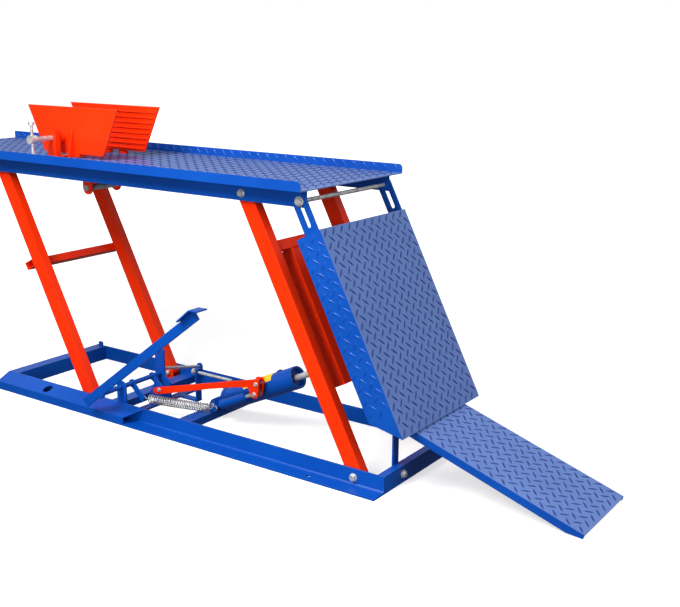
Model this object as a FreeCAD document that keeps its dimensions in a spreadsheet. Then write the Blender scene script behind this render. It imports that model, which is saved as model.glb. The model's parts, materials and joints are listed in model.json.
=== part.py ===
import FreeCAD, Part

import math
import os
import re
import string

import Sketcher

# Motorcycle lift, in millimetres. The floor is at zero, X runs along the lift towards
# its load ramp, Y across it and Z up. The origin is the centre of the floor anchors.

doc = FreeCAD.newDocument("motorcycle_lift")
sheet = doc.addObject("Spreadsheet::Sheet", "Sizes")

# Driving sizes. Every alias is words joined by underscores, so that the
# expressions below can tell a size from a function.
SIZES = {
    # base frame
    "base_length": 1540, "rear_pivot_inset": 98, "base_width": 410, "rail_height": 50, "rail_wall": 5,
    "flange_reach": 50, "anchor_spacing": 1080, "anchor_hole_radius": 7, "beam_wall": 5,
    "rear_flange": 24, "front_flange": 45, "member_height": 25, "member_wall": 3,
    "wide_member_width": 49, "jack_member_width": 50, "thin_bar_width": 30, "thin_bar_step": 20,
    "wide_member_step": 49, "jack_member_step": 12, "thin_bar_height": 6, "tab_width": 18,
    "tab_height": 15, "tab_wall": 6, "tab_step": 14,
    # toe guard on the near rail
    "guard_wall": 3, "guard_access_radius": 16, "guard_face_height": 28, "guard_step": 100,
    "guard_slant": 44,
    # load ramp
    "ramp_half_width": 137.5, "ramp_end_gap": 1, "ramp_top_height": 196.4, "ramp_angle": 18.04,
    "ramp_length": 594.5, "ramp_wall": 3, "ramp_flange": 22, "ramp_tip_flange": 12, "post_inset": 30,
    "post_wall": 6, "post_width": 26, "post_centre": 107, "post_foot_low": 10, "post_foot_high": 42,
    "ramp_bolt_height": 26,
    # arms
    "pivot_step": 1042, "pivot_height": 25, "arm_length": 833, "raised_angle": 62.7, "arm_depth": 48,
    "arm_width": 30, "arm_wall": 3, "arm_gap": 5, "pivot_radius": 5, "run_gap": 0.05, "bush_wall": 4,
    "face_gap": 0.3, "head_height": 7, "head_radius": 9.5, "washer_radius": 12, "washer_wall": 2.5,
    "nut_height": 8,
    # cross pieces of the arm frames
    "rear_bar_reach": 665, "rear_bar_size": 30, "front_bar_reach": 493, "front_bar_depth": 40,
    "front_bar_height": 25, "channel_end_reach": 240, "channel_half_width": 107, "channel_wall": 3,
    "channel_depth": 40,
    # ram pin and its slotted ears
    "pin_reach": 293, "pin_offset": 28, "pin_radius": 8, "pin_rim_radius": 12, "slot_run": 49,
    "slot_rise": 14.6, "slot_fall": 16.8, "ear_wall": 6, "ear_inner": 14.5, "ear_margin": 7,
    "ear_end": 6,
    # deck
    "deck_length": 1760, "deck_overhang": 237.06, "deck_rise": 30.78, "deck_half_width": 252,
    "deck_wall": 3, "lip_height": 25, "lip_round": 9, "skirt_depth": 48, "skirt_wall": 4,
    "skirt_outer": 205, "skirt_back": 15, "member_deep": 30, "member_wide": 40,
    "member_share_first": 0.04, "member_share_second": 0.23, "member_share_third": 0.43,
    "member_share_fourth": 0.645, "member_share_fifth": 0.8, "member_share_last": 0.895,
    "member_short_half": 160,
    # hanging rod and drop ramp
    "hang_inset": 34, "hang_drop": 34, "hang_radius": 6, "rod_washer_radius": 14, "drop_angle": 62.9,
    "drop_start": 90, "drop_end": 678, "drop_face": 30.7, "drop_wall": 3, "drop_half_width": 214,
    "drop_depth": 84, "drop_cut": 68, "strap_gap": 1, "strap_wall": 5, "strap_width": 47,
    "strap_overlap": 40, "drop_slot": 75,
    # jack
    "jack_pin_height": 44, "jack_pin_step": 654, "anchor_step": 28, "jack_pin_radius": 7,
    "jack_radius": 35, "jack_start": 40, "jack_length": 305, "collar_step": 2, "jack_bore": 29,
    "jack_floor": 12, "gland_depth": 10, "gland_wall": 12, "ram_radius": 10, "ram_inner_end": 238,
    "eye_radius": 12, "piston_wall": 14, "block_half_width": 28, "block_radius": 18, "lug_wall": 8,
    "lug_radius": 14, "plug_reach": 282, "plug_radius": 9, "plug_height": 3, "plug_knob": 1.5,
    "label_start": 142, "label_margin": 11, "label_wall": 0.4, "label_gap": 0.2, "valve_reach": 62,
    "valve_radius": 5, "valve_rim_radius": 8, "valve_length": 12,
    # foot pump
    "pump_offset": 57, "pump_drop": 5.47, "pump_radius": 14, "pump_start": 60, "pump_end": 172,
    "pump_chamfer": 5, "saddle_gap": 4, "saddle_depth": 12, "piston_radius": 6, "piston_inner_end": 100,
    "tongue_reach": 221, "tongue_radius": 9, "tongue_half": 7,
    # pump link
    "link_angle": 9.43, "link_reach": 405.4, "link_near_face": 75.5, "link_wall": 6,
    "link_far_face": 44, "link_far_wall": 4, "link_bolt_radius": 4, "fork_bolt_across": 12.4,
    "fork_bolt_up": 32.3, "fork_top": 48, "fork_bridge": 4, "fork_bridge_run": 20, "link_head_radius": 7, "link_head": 5,
    # pedal
    "pedal_height": 101, "pedal_step": 239, "shaft_radius": 8, "shaft_near": -290, "shaft_far": -10,
    "pedal_angle": 37, "pedal_length": 518, "pedal_tail": 81, "pedal_bar_height": 28,
    "pedal_bar_rise": 8.5, "pedal_bar_wall": 8, "pedal_bar_face": -289, "foot_width": 44,
    "foot_weld_length": 30, "foot_weld_height": 4, "foot_weld_back": 40, "spring_arm_angle": 44.3,
    "spring_arm_length": 60, "spring_arm_face": -155, "link_arm_angle": 40.6, "link_arm_length": 54.9,
    "link_arm_face": -65.5, "lever_wall": 6, "lever_width": 19, "lever_boss_radius": 12.8,
    "pedal_boss_radius": 14.4, "bracket_width": 40, "bracket_wall": 5, "tall_face": -27, "tall_wall": 6,
    "tall_height": 185, "tall_foot_reach": 45, "tall_foot_height": 75, "tall_shoulder": 100,
    # return spring
    "spring_near_side": -147, "spring_far_side": -56, "spring_anchor_height": 44, "spring_radius": 13,
    "wire_radius": 1.75, "hook_radius": 2.3, "shank_radius": 1.5, "spring_turns": 27,
    "spring_coil_length": 212, "stub_radius": 4.5, "stub_rim": 7, "stub_rim_wall": 2, "hook_gap": 5.8,
    # release gear
    "release_side": 57, "release_step": 71, "guide_step": 96, "stay_start_step": 10,
    "stay_lug_step": 28, "release_height": 100, "release_radius": 5, "release_length": 170,
    "guide_width": 24, "guide_wall": 6, "stay_radius": 5, "stay_gap": 1.5, "stay_start_height": 119,
    "stay_lug_height": 63, "stay_lug_radius": 12,
    # wheel vise
    "vise_lean": 72, "vise_step": 901, "vise_length": 276, "spindle_step": 186, "shoe_step": 136,
    "leg_step": 92, "roller_step": 18.5, "lug_half_width": 20.5, "jaw_gap": 13, "jaw_height": 149,
    "spindle_rise": 64, "shoe_rise": 111, "ridge_margin": 7, "roller_drop": 92, "near_jaw_face": -85,
    "far_jaw_face": 92, "jaw_wall": 5, "vise_base_wall": 6, "shoe_gap": 2.5, "shoe_reach": 25,
    "shoe_width": 25, "post_half_width": 20, "leg_width": 34, "ridge_step": 17.2, "ridge_height": 4,
    "ridge_count": 8, "ridge_inset": 6, "housing_radius": 18, "housing_length": 20, "knob_radius": 13.5,
    "knob_length": 24, "spindle_radius": 8, "spindle_near": -225, "nut_face": -137, "nut_length": 20,
    "handle_radius": 5, "handle_half": 55,
    # wheel vise lugs under the deck
    "roller_radius": 9.5, "lug_near_face": -145, "lug_far_face": -25,
}

# Places that follow from the sizes above, so that the pieces keep together
PLACES = {
    "rear_pivot": "base_length / 2 - rear_pivot_inset",
    "post_front": "base_length / 2 - post_inset",
    "ramp_top_end": "post_front - ramp_end_gap",
    "deck_rear": "rear_pivot - arm_length * cos(raised_angle) + deck_overhang",
    "deck_top": "pivot_height + arm_length * sin(raised_angle) + deck_rise",
    "hang_rod": "deck_rear - hang_inset",
    "hang_height": "deck_top - hang_drop",
    "jack_pin": "rear_pivot - jack_pin_step",
    "spring_anchor": "jack_pin + anchor_step",
    "jack_member_rear": "jack_pin + jack_member_step",
    "pedal_shaft": "jack_pin - pedal_step",
    "thin_bar_rear": "pedal_shaft + thin_bar_step",
    "wide_member_rear": "pedal_shaft - wide_member_step",
    "guard_end": "pedal_shaft + guard_step",
    "guard_end_outer": "guard_end - guard_slant",
    "release_start": "pedal_shaft + release_step",
    "guide_foot_end": "pedal_shaft + guide_step",
    "stay_start": "pedal_shaft + stay_start_step",
    "stay_lug": "pedal_shaft - stay_lug_step",
    "vise_rear": "deck_rear - vise_step",
    "vise_front": "vise_rear - vise_length",
    "spindle_side": "vise_rear - spindle_step",
    "shoe_front": "vise_rear - shoe_step",
    "leg_rear": "vise_rear - leg_step",
    "roller_side": "vise_rear - roller_step",
    "lug_front": "roller_side - lug_half_width",
    "lug_rear": "roller_side + lug_half_width",
    "jaw_low": "deck_top + jaw_gap",
    "jaw_high": "jaw_low + jaw_height",
    "spindle_height": "deck_top + spindle_rise",
    "shoe_top": "deck_top + shoe_rise",
    "ridge_start": "jaw_low + ridge_margin",
    "roller_height": "deck_top - roller_drop",
    "label_length": "plug_reach - plug_radius - label_margin - label_start",
}

# Cut outlines as corner points: across and up in the piece's own frame, and for the two
# link ends counted from the far bolt
OUTLINES = {
    "link_leg": ((-87, 19.5), (-22, 22), (-14, -6), (-9, -11), (0, -13), (9, -10), (13, -3), (20, 20),
                 (27, 44), (21, 48), (-83, 39)),
    "link_end_top": ((80.4, 16), (-10, 8), (-25, 5)),
    "link_end_low": ((-29, -5), (-24, -14), (0, -15), (224, 11)),
    "link_far_leg": ((-14, 30), (-14, -6), (-9, -12), (0, -14), (9, -8), (14, 6), (20, 26), (21, 42),
                     (15, 48), (-6, 48)),
    "foot_plate": ((-62, 0), (0, 3), (25, -15), (28, -12), (1, 7), (-62, 4)),
}


def outline_names(name):
    """The sheet's names of an outline's points, in order."""
    letters = string.ascii_lowercase[:len(OUTLINES[name])]
    return [("%s_across_%s" % (name, letter), "%s_up_%s" % (name, letter)) for letter in letters]


cells = dict(SIZES)
for name, points in OUTLINES.items():
    for aliases, point in zip(outline_names(name), points):
        cells.update(zip(aliases, point))
cells.update((alias, "=" + text) for alias, text in PLACES.items())
for row, (alias, value) in enumerate(cells.items(), 1):
    sheet.set("A%d" % row, alias)
    sheet.set("B%d" % row, str(value))
    sheet.setAlias("B%d" % row, alias)
doc.recompute()

TURNS = {
    "x": FreeCAD.Rotation(FreeCAD.Vector(0, 1, 0), 90),
    "y": FreeCAD.Rotation(FreeCAD.Vector(1, 0, 0), -90),
    "z": FreeCAD.Rotation(),
}
PLANES = {
    "y": (FreeCAD.Rotation(FreeCAD.Vector(1, 0, 0), 90), FreeCAD.Vector(0, 1, 0)),
    "x": (FreeCAD.Rotation(FreeCAD.Vector(1, 1, 1), 120), FreeCAD.Vector(1, 0, 0)),
    "z": (FreeCAD.Rotation(), FreeCAD.Vector(0, 0, 1)),
}
NEAR_TO_FAR = FreeCAD.Vector(0, 1, 0)
# How far out an outline's corners start before their own sizes pull them in
ROUGH_REACH = 100
sub_parts = []


def bind(item, prop, text):
    """Bind one property to an expression over the named sizes."""
    item.setExpression(prop, re.sub(r"\b([a-z]+(?:_[a-z]+)+)\b", r"Sizes.\1", str(text)))


def move(item, x="", y="", z=""):
    """Bind the place of a piece; an empty text leaves that axis at zero."""
    for axis, text in zip("xyz", (x, y, z)):
        if text:
            bind(item, "Placement.Base." + axis, text)
    return item


def box(length, width, height, x="", y="", z=""):
    item = doc.addObject("Part::Box", "block")
    bind(item, "Length", length)
    bind(item, "Width", width)
    bind(item, "Height", height)
    return move(item, x, y, z)


def rod(axis, radius, length, x="", y="", z=""):
    """A cylinder that starts at a point and runs along +x, +y or +z."""
    item = doc.addObject("Part::Cylinder", "round")
    item.Placement = FreeCAD.Placement(FreeCAD.Vector(), TURNS[axis])
    bind(item, "Radius", radius)
    bind(item, "Height", length)
    return move(item, x, y, z)


def slab(axis, points, thickness, start=""):
    """A closed outline of named points, extruded along one axis from its start."""
    turn, direction = PLANES[axis]
    sketch = doc.addObject("Sketcher::SketchObject", "outline")
    sketch.Placement = FreeCAD.Placement(FreeCAD.Vector(), turn)
    if start:
        bind(sketch, "Placement.Base." + axis, start)
    count = len(points)
    ring = []
    for index in range(count):
        angle = 2 * math.pi * index / count
        ring.append(FreeCAD.Vector(math.cos(angle), math.sin(angle), 0) * ROUGH_REACH)
    for index in range(count):
        sketch.addGeometry(Part.LineSegment(ring[index], ring[(index + 1) % count]))
    for index in range(count):
        sketch.addConstraint(Sketcher.Constraint("Coincident", index, 2, (index + 1) % count, 1))
    for index, (across, up) in enumerate(points):
        for kind, value, text in (("DistanceX", ring[index].x, across), ("DistanceY", ring[index].y, up)):
            place = sketch.addConstraint(Sketcher.Constraint(kind, -1, 1, index, 1, value))
            bind(sketch, "Constraints[%d]" % place, text)
    item = doc.addObject("Part::Extrusion", "slab")
    item.Base = sketch
    item.DirMode = "Custom"
    item.Dir = direction
    item.Solid = True
    bind(item, "LengthFwd", thickness)
    return item


def fuse(*items):
    item = doc.addObject("Part::MultiFuse", "joined")
    item.Shapes = list(items)
    return item


def cut(base, *tools):
    item = doc.addObject("Part::Cut", "cut")
    item.Base = base
    item.Tool = tools[0] if len(tools) == 1 else fuse(*tools)
    return item


def common(first, second):
    item = doc.addObject("Part::Common", "shared")
    item.Base = first
    item.Tool = second
    return item


def tube(axis, radius, bore, length, x="", y="", z=""):
    """A ring or bush along one axis."""
    return cut(rod(axis, radius, length, x, y, z), rod(axis, bore, length, x, y, z))


def tilt(item, angle, x, y="", z="", axis=(0, -1, 0)):
    """Turn a built piece about its own origin and set that origin at a point."""
    item.Placement = FreeCAD.Placement(FreeCAD.Vector(), FreeCAD.Rotation(FreeCAD.Vector(*axis), 10))
    bind(item, "Placement.Rotation.Angle", angle)
    return move(item, x, y, z)


def part(name, item):
    """Register a finished piece under its node name."""
    item.Label = name
    sub_parts.append(item)
    return item


def mirrored(source):
    """The same piece on the other side of the lift."""
    item = doc.addObject("Part::Mirroring", "mirrored")
    item.Source = source
    item.Normal = NEAR_TO_FAR
    item.Base = FreeCAD.Vector()
    return item


def mirror(name, source):
    return part(name, mirrored(source))


def solid_group(*items):
    """Separate solids that share one node."""
    item = doc.addObject("Part::Compound", "group")
    item.Links = list(items)
    return item


def both_sides(name, source):
    """A piece and its mirror image as two solids of one node."""
    return part(name, solid_group(source, mirrored(source)))


def bolt(x, height, start, grip):
    """A bolt along +Y: head and washer before the start, shank through the grip, then a nut."""
    return fuse(
        rod("y", "head_radius", "head_height", x, start + " - washer_wall - head_height", height),
        rod("y", "washer_radius", "washer_wall", x, start + " - washer_wall", height),
        rod("y", "pivot_radius", grip + " + nut_height", x, start, height),
        rod("y", "head_radius", "nut_height", x, "%s + (%s)" % (start, grip), height))


# Base frame
near_web = "-base_width / 2"
inner = "(base_width / 2 - rail_wall)"
front_end = "-base_length / 2"
front_pivot = "(rear_pivot - pivot_step)"


def base_frame():
    holes = []
    for side in ("-anchor_spacing / 2", "anchor_spacing / 2"):
        holes.append(rod("z", "anchor_hole_radius", "2 * rail_wall", side,
                         near_web + " - flange_reach / 2", "-rail_wall / 2"))
    for pivot in (front_pivot, "rear_pivot"):
        holes.append(rod("y", "pivot_radius", "2 * rail_wall", pivot,
                         near_web + " - rail_wall / 2", "pivot_height"))
    rail = cut(fuse(box("base_length", "rail_wall", "rail_height", front_end, near_web),
                    box("base_length", "flange_reach + rail_wall", "rail_wall", front_end,
                        near_web + " - flange_reach")), *holes)
    part("base_rail_near", rail)
    stay_lug = fuse(
        box("2 * stay_lug_radius", "guide_wall", "stay_lug_height - member_height",
            "stay_lug - stay_lug_radius", inner + " - guide_wall", "member_height"),
        rod("y", "stay_lug_radius", "guide_wall", "stay_lug", inner + " - guide_wall", "stay_lug_height"))
    part("base_rail_far", fuse(mirrored(rail), stay_lug))
    part("base_beam_rear", fuse(
        box("beam_wall", "2 * " + inner, "rail_height", "base_length / 2 - beam_wall", "-" + inner),
        box("rear_flange", "2 * " + inner, "beam_wall", "base_length / 2 - rear_flange",
            "-" + inner, "rail_height - beam_wall")))
    part("base_beam_front", fuse(
        box("beam_wall", "2 * " + inner, "rail_height", front_end + " + front_flange - beam_wall",
            "-" + inner),
        box("front_flange", "2 * " + inner, "beam_wall", front_end, "-" + inner,
            "rail_height - beam_wall"),
        box("tab_width", "tab_wall", "tab_height", front_end + " + tab_step", inner + " - tab_wall",
            "rail_height")))
    for name, rear, width in (("crossmember_wide", "wide_member_rear", "wide_member_width"),
                              ("crossmember_jack", "jack_member_rear", "jack_member_width")):
        part(name, cut(
            box(width, "2 * " + inner, "member_height", rear + " - " + width, "-" + inner),
            box(width + " - 2 * member_wall", "base_width", "member_height - 2 * member_wall",
                "%s - %s + member_wall" % (rear, width), near_web, "member_wall")))
    part("crossbar_thin", box("thin_bar_width", "2 * " + inner, "thin_bar_height",
                              "thin_bar_rear - thin_bar_width", "-" + inner))


def toe_guard():
    face = near_web + " - flange_reach"
    sheet_run = slab("x", [
        (near_web, "rail_height"), (face, "guard_face_height"), (face, "rail_wall"),
        (face + " + guard_wall", "rail_wall"),
        (face + " + guard_wall", "guard_face_height - guard_wall"),
        (near_web, "rail_height - guard_wall")],
        "guard_end + base_length / 2", front_end)
    corner = slab("z", [
        ("guard_end", near_web), ("guard_end_outer", face),
        ("guard_end_outer", face + " - guard_wall"), ("guard_end + guard_wall", face + " - guard_wall"),
        ("guard_end + guard_wall", near_web)], "2 * rail_height")
    access = rod("z", "guard_access_radius", "rail_height", "-anchor_spacing / 2",
                 near_web + " - flange_reach / 2", "2 * rail_wall")
    part("toe_guard", cut(sheet_run, corner, access))


def load_ramp():
    width = "2 * ramp_half_width"
    side = [("0", "-ramp_wall"), ("0", "-ramp_flange"),
            ("ramp_length - 2 * ramp_flange", "-ramp_flange"), ("ramp_length", "-ramp_tip_flange"),
            ("ramp_length", "-ramp_wall")]
    ramp = fuse(box("ramp_length", width, "ramp_wall", "", "-ramp_half_width", "-ramp_wall"),
                slab("y", side, "ramp_wall", "-ramp_half_width"),
                slab("y", side, "ramp_wall", "ramp_half_width - ramp_wall"))
    part("load_ramp", tilt(ramp, "ramp_angle", "ramp_top_end", "", "ramp_top_height", (0, 1, 0)))
    under = "ramp_top_height - ramp_wall / cos(ramp_angle) + tan(ramp_angle) * (ramp_top_end - post_front%s)"
    post_side = "-post_centre - post_width / 2"
    post = fuse(
        slab("y", [("post_front", "0"), ("post_front + post_wall", "0"),
                   ("post_front + post_wall", under % " - post_wall"), ("post_front", under % "")],
             "post_width", post_side),
        box("base_length / 2 - beam_wall - post_front", "post_width", "post_foot_high - post_foot_low",
            "post_front", post_side, "post_foot_low"))
    both_sides("ramp_posts", post)
    heads = []
    for side_sign in ("-", ""):
        heads.append(fuse(
            rod("x", "washer_radius", "washer_wall", "base_length / 2", side_sign + "post_centre",
                "ramp_bolt_height"),
            rod("x", "head_radius", "head_height", "base_length / 2 + washer_wall",
                side_sign + "post_centre", "ramp_bolt_height")))
    part("ramp_post_bolts", solid_group(*heads))


def base_pivot_bolts():
    for name, pivot in (("rear", "rear_pivot"), ("front", front_pivot)):
        both_sides("base_pivot_bolts_" + name, fuse(
            bolt(pivot, "pivot_height", near_web, "rail_wall + arm_gap + arm_width + 2 * face_gap"),
            rod("y", "washer_radius", "arm_gap", pivot, near_web + " + rail_wall", "pivot_height")))


def jack_mount():
    lug_face = "(block_half_width + lug_wall + face_gap)"
    lugs = []
    for face in ("-%s" % lug_face, "(block_half_width + face_gap)"):
        lugs.append(cut(
            fuse(box("2 * lug_radius", "lug_wall", "jack_pin_height - member_height",
                     "jack_pin - lug_radius", face, "member_height"),
                 rod("y", "lug_radius", "lug_wall", "jack_pin", face, "jack_pin_height")),
            rod("y", "jack_pin_radius", "3 * lug_wall", "jack_pin", face + " - lug_wall", "jack_pin_height")))
    # The near lug reaches back to carry the spring's far hook on a stub.
    anchor = fuse(
        box("spring_anchor - jack_pin", "lug_wall", "2 * stub_rim", "jack_pin + lug_radius - stub_rim",
            "-" + lug_face, "spring_anchor_height - stub_rim"),
        rod("y", "stub_rim", "lug_wall", "spring_anchor", "-" + lug_face, "spring_anchor_height"))
    near_end = "spring_far_side - stub_radius"
    stub = fuse(
        rod("y", "stub_radius", "-%s - (%s)" % (lug_face, near_end), "spring_anchor", near_end,
            "spring_anchor_height"),
        rod("y", "stub_rim", "stub_rim_wall", "spring_anchor", near_end + " - stub_rim_wall",
            "spring_anchor_height"))
    part("jack_lugs", solid_group(fuse(lugs[0], anchor, stub), lugs[1]))
    part("jack_base_pin", rod("y", "jack_pin_radius", "2 * (%s + washer_wall)" % lug_face, "jack_pin",
                              "-%s - washer_wall" % lug_face, "jack_pin_height"))


def pedal_mount():
    half = "bracket_width / 2"
    hole = "shaft_radius + run_gap"
    near = cut(fuse(
        box("bracket_width", "bracket_wall", "pedal_height - thin_bar_height", "pedal_shaft - " + half,
            "-" + inner, "thin_bar_height"),
        rod("y", half, "bracket_wall", "pedal_shaft", "-" + inner, "pedal_height")),
        rod("y", hole, "3 * bracket_wall", "pedal_shaft", "-" + inner + " - bracket_wall", "pedal_height"))
    part("pedal_bracket_near", near)
    tall = cut(slab("y", [
        ("wide_member_rear", "thin_bar_height"), ("pedal_shaft + tall_foot_reach", "thin_bar_height"),
        ("pedal_shaft + tall_foot_reach", "tall_foot_height"), ("pedal_shaft + " + half, "tall_shoulder"),
        ("pedal_shaft + " + half, "tall_height"), ("pedal_shaft - " + half, "tall_height"),
        ("pedal_shaft - " + half, "tall_foot_height"), ("wide_member_rear", "member_height")],
        "tall_wall", "tall_face"),
        rod("y", hole, "3 * tall_wall", "pedal_shaft", "tall_face - tall_wall", "pedal_height"))
    part("pedal_bracket_tall", tall)


def release_mount():
    guide = cut(fuse(
        box("guide_foot_end - thin_bar_rear", "guide_width", "guide_wall", "thin_bar_rear",
            "release_side - guide_width / 2"),
        box("guide_wall", "guide_width", "release_height + guide_width / 2",
            "guide_foot_end - guide_wall", "release_side - guide_width / 2")),
        rod("x", "release_radius + run_gap", "3 * guide_wall", "guide_foot_end - 2 * guide_wall",
            "release_side", "release_height"))
    part("release_guide", guide)
    start = ("stay_start", "(tall_face + tall_wall + stay_gap)", "stay_start_height")
    run, length = span(start, ("stay_lug", inner + " - guide_wall", "stay_lug_height"))
    part("stay_rod", cut(
        aim(rod("z", "stay_radius", length), start, run, length),
        box("4 * stay_radius", "guide_wall", "4 * stay_radius", "stay_lug - 2 * stay_radius",
            inner + " - guide_wall", "stay_lug_height - 2 * stay_radius")))


def span(start, end):
    """The run between two named points and its length, as expressions."""
    run = ["((%s) - (%s))" % (last, first) for first, last in zip(start, end)]
    return run, "sqrt(pow(%s; 2) + pow(%s; 2) + pow(%s; 2))" % tuple(run)


def aim(item, start, run, length):
    """Turn a piece built along +Z so that it starts at a point and lies along a run."""
    flat = "sqrt(pow(%s; 2) + pow(%s; 2))" % (run[0], run[1])
    item.Placement = FreeCAD.Placement(FreeCAD.Vector(), FreeCAD.Rotation(FreeCAD.Vector(1, 0, 0), 90))
    bind(item, "Placement.Rotation.Axis.x", "-%s / %s" % (run[1], flat))
    bind(item, "Placement.Rotation.Axis.y", "%s / %s" % (run[0], flat))
    bind(item, "Placement.Rotation.Angle", "acos(%s / %s)" % (run[2], length))
    return move(item, *start)


# Arms and their cross pieces, each about its own base pivot
arm_face = "(" + inner + " - arm_gap)"


def arm():
    """A tube from the base pivot back to the deck pivot, along -X of its own frame."""
    half = "arm_depth / 2"
    y = "-%s + face_gap" % arm_face
    outer = fuse(box("arm_length", "arm_width", "arm_depth", "-arm_length", y, "-" + half),
                 rod("y", half, "arm_width", "", y, ""), rod("y", half, "arm_width", "-arm_length", y, ""))
    hollow = cut(outer, box("arm_length + 2 * arm_depth", "arm_width - 2 * arm_wall",
                            "arm_depth - 2 * arm_wall", "-arm_length - arm_depth",
                            y + " + arm_wall", "-%s + arm_wall" % half))
    ends = ("", "-arm_length")
    bushes = [rod("y", "pivot_radius + bush_wall", "arm_width", end, y, "") for end in ends]
    bores = [rod("y", "pivot_radius + run_gap", "2 * arm_width", end, y + " - arm_width / 2", "")
             for end in ends]
    return cut(fuse(hollow, *bushes), *bores)


def swing(item, pivot):
    return tilt(item, "raised_angle", pivot, "", "pivot_height", (0, 1, 0))


def arms():
    inner_face = "(" + arm_face + " - face_gap - arm_width)"
    for name, pivot in (("rear", "rear_pivot"), ("front", front_pivot)):
        near = part("arm_%s_near" % name, swing(arm(), pivot))
        mirror("arm_%s_far" % name, near)
    size = "rear_bar_size"
    rear_bar = cut(
        box(size, "2 * " + inner_face, size, "-rear_bar_reach - %s / 2" % size, "-" + inner_face,
            "-%s / 2" % size),
        box(size + " - 2 * arm_wall", "base_width", size + " - 2 * arm_wall",
            "-rear_bar_reach - %s / 2 + arm_wall" % size, near_web, "-%s / 2 + arm_wall" % size))
    part("crossbar_arms_rear", swing(rear_bar, "rear_pivot"))
    outer_face = "(" + arm_face + " - face_gap)"
    low = "-arm_depth / 2 - front_bar_depth"
    front_bar = cut(
        box("front_bar_height", "2 * " + outer_face, "front_bar_depth",
            "-front_bar_reach - front_bar_height / 2", "-" + outer_face, low),
        box("front_bar_height - 2 * arm_wall", "base_width", "front_bar_depth - 2 * arm_wall",
            "-front_bar_reach - front_bar_height / 2 + arm_wall", near_web, low + " + arm_wall"))
    part("crossbar_arms_front", swing(front_bar, front_pivot))
    run = "rear_bar_reach - rear_bar_size / 2 - channel_end_reach"
    start = "-rear_bar_reach + rear_bar_size / 2"
    channel = fuse(
        box(run, "2 * channel_half_width", "channel_wall", start, "-channel_half_width",
            "rear_bar_size / 2 - channel_wall"),
        box(run, "channel_wall", "channel_depth", start, "-channel_half_width",
            "rear_bar_size / 2 - channel_depth"),
        box(run, "channel_wall", "channel_depth", start, "channel_half_width - channel_wall",
            "rear_bar_size / 2 - channel_depth"))
    part("ram_channel", swing(channel, "rear_pivot"))
    # The slot lets the ram pin stay true while ram, jack and arms turn together.
    low_side = "-pin_offset - slot_fall"
    ear_face = "-ear_inner - ear_wall"
    ear = cut(
        box("slot_run + 2 * pin_radius + ear_end", "ear_wall",
            "rear_bar_size / 2 - channel_wall + pin_offset + slot_fall + ear_margin",
            "-pin_reach - pin_radius - ear_end", ear_face, low_side + " - ear_margin"),
        box("slot_run + 3 * pin_radius", "3 * ear_wall", "slot_rise + slot_fall",
            "-pin_reach - pin_radius - face_gap", ear_face + " - ear_wall", low_side))
    both_sides("ram_ears", swing(ear, "rear_pivot"))


# Deck, its hanging rod and the wheel vise
deck_pivot_rear = "(rear_pivot - arm_length * cos(raised_angle))"
deck_pivot_front = "(%s - pivot_step)" % deck_pivot_rear
deck_pivot_height = "(pivot_height + arm_length * sin(raised_angle))"
deck_under = "(deck_top - deck_wall)"
deck_front = "(deck_rear - deck_length)"
skirt_in = "(skirt_outer - skirt_wall)"
strap_face = "(skirt_outer + strap_gap)"


def deck():
    lip_top = "deck_top + lip_height"
    lip = [(deck_front, deck_under), ("deck_rear", deck_under), ("deck_rear", lip_top + " - lip_round"),
           ("deck_rear - lip_round / 3", lip_top + " - lip_round / 3"),
           ("deck_rear - lip_round", lip_top), (deck_front, lip_top)]
    part("deck_plate", fuse(
        box("deck_length", "2 * deck_half_width", "deck_wall", deck_front, "-deck_half_width", deck_under),
        slab("y", lip, "deck_wall", "-deck_half_width"),
        slab("y", lip, "deck_wall", "deck_half_width - deck_wall")))
    holes = [rod("y", "pivot_radius", "3 * skirt_wall", place, "-skirt_outer - skirt_wall", height)
             for place, height in ((deck_pivot_rear, deck_pivot_height),
                                   (deck_pivot_front, deck_pivot_height))]
    holes.append(rod("y", "hang_radius", "3 * skirt_wall", "hang_rod", "-skirt_outer - skirt_wall",
                     "hang_height"))
    skirt = cut(box("deck_length - skirt_back", "skirt_wall", "skirt_depth", deck_front, "-skirt_outer",
                    deck_under + " - skirt_depth"), *holes)
    both_sides("deck_skirts", skirt)
    members = []
    # The last one ends short of the skirts, so that the rear arms can fold up beside it.
    for share in ("first", "second", "third", "fourth", "fifth", "last"):
        place = "%s + deck_length * member_share_%s" % (deck_front, share)
        half = "member_short_half" if share == "last" else skirt_in
        members.append(cut(
            box("member_wide", "2 * " + half, "member_deep", place, "-" + half,
                deck_under + " - member_deep"),
            box("member_wide - 2 * member_wall", "base_width", "member_deep - 2 * member_wall",
                place + " + member_wall", near_web, deck_under + " - member_deep + member_wall")))
    part("deck_crossmembers", solid_group(*members))
    grip = "skirt_wall + (%s - %s) + face_gap + arm_width + face_gap" % (skirt_in, arm_face)
    for name, pivot in (("rear", deck_pivot_rear), ("front", deck_pivot_front)):
        both_sides("deck_pivot_bolts_" + name, fuse(
            bolt(pivot, deck_pivot_height, "-skirt_outer", grip),
            rod("y", "washer_radius", "%s - %s" % (skirt_in, arm_face), pivot, "-" + skirt_in,
                deck_pivot_height)))
    seat = "(%s + strap_wall + face_gap)" % strap_face
    end = "(%s + washer_wall + nut_height)" % seat
    part("hanging_rod", rod("y", "hang_radius", "2 * " + end, "hang_rod", "-" + end, "hang_height"))
    both_sides("hanging_rod_nuts", fuse(
        tube("y", "rod_washer_radius", "hang_radius", "washer_wall", "hang_rod", "-%s - washer_wall" % seat,
             "hang_height"),
        tube("y", "head_radius", "hang_radius", "nut_height", "hang_rod", "-" + end, "hang_height")))


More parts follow.
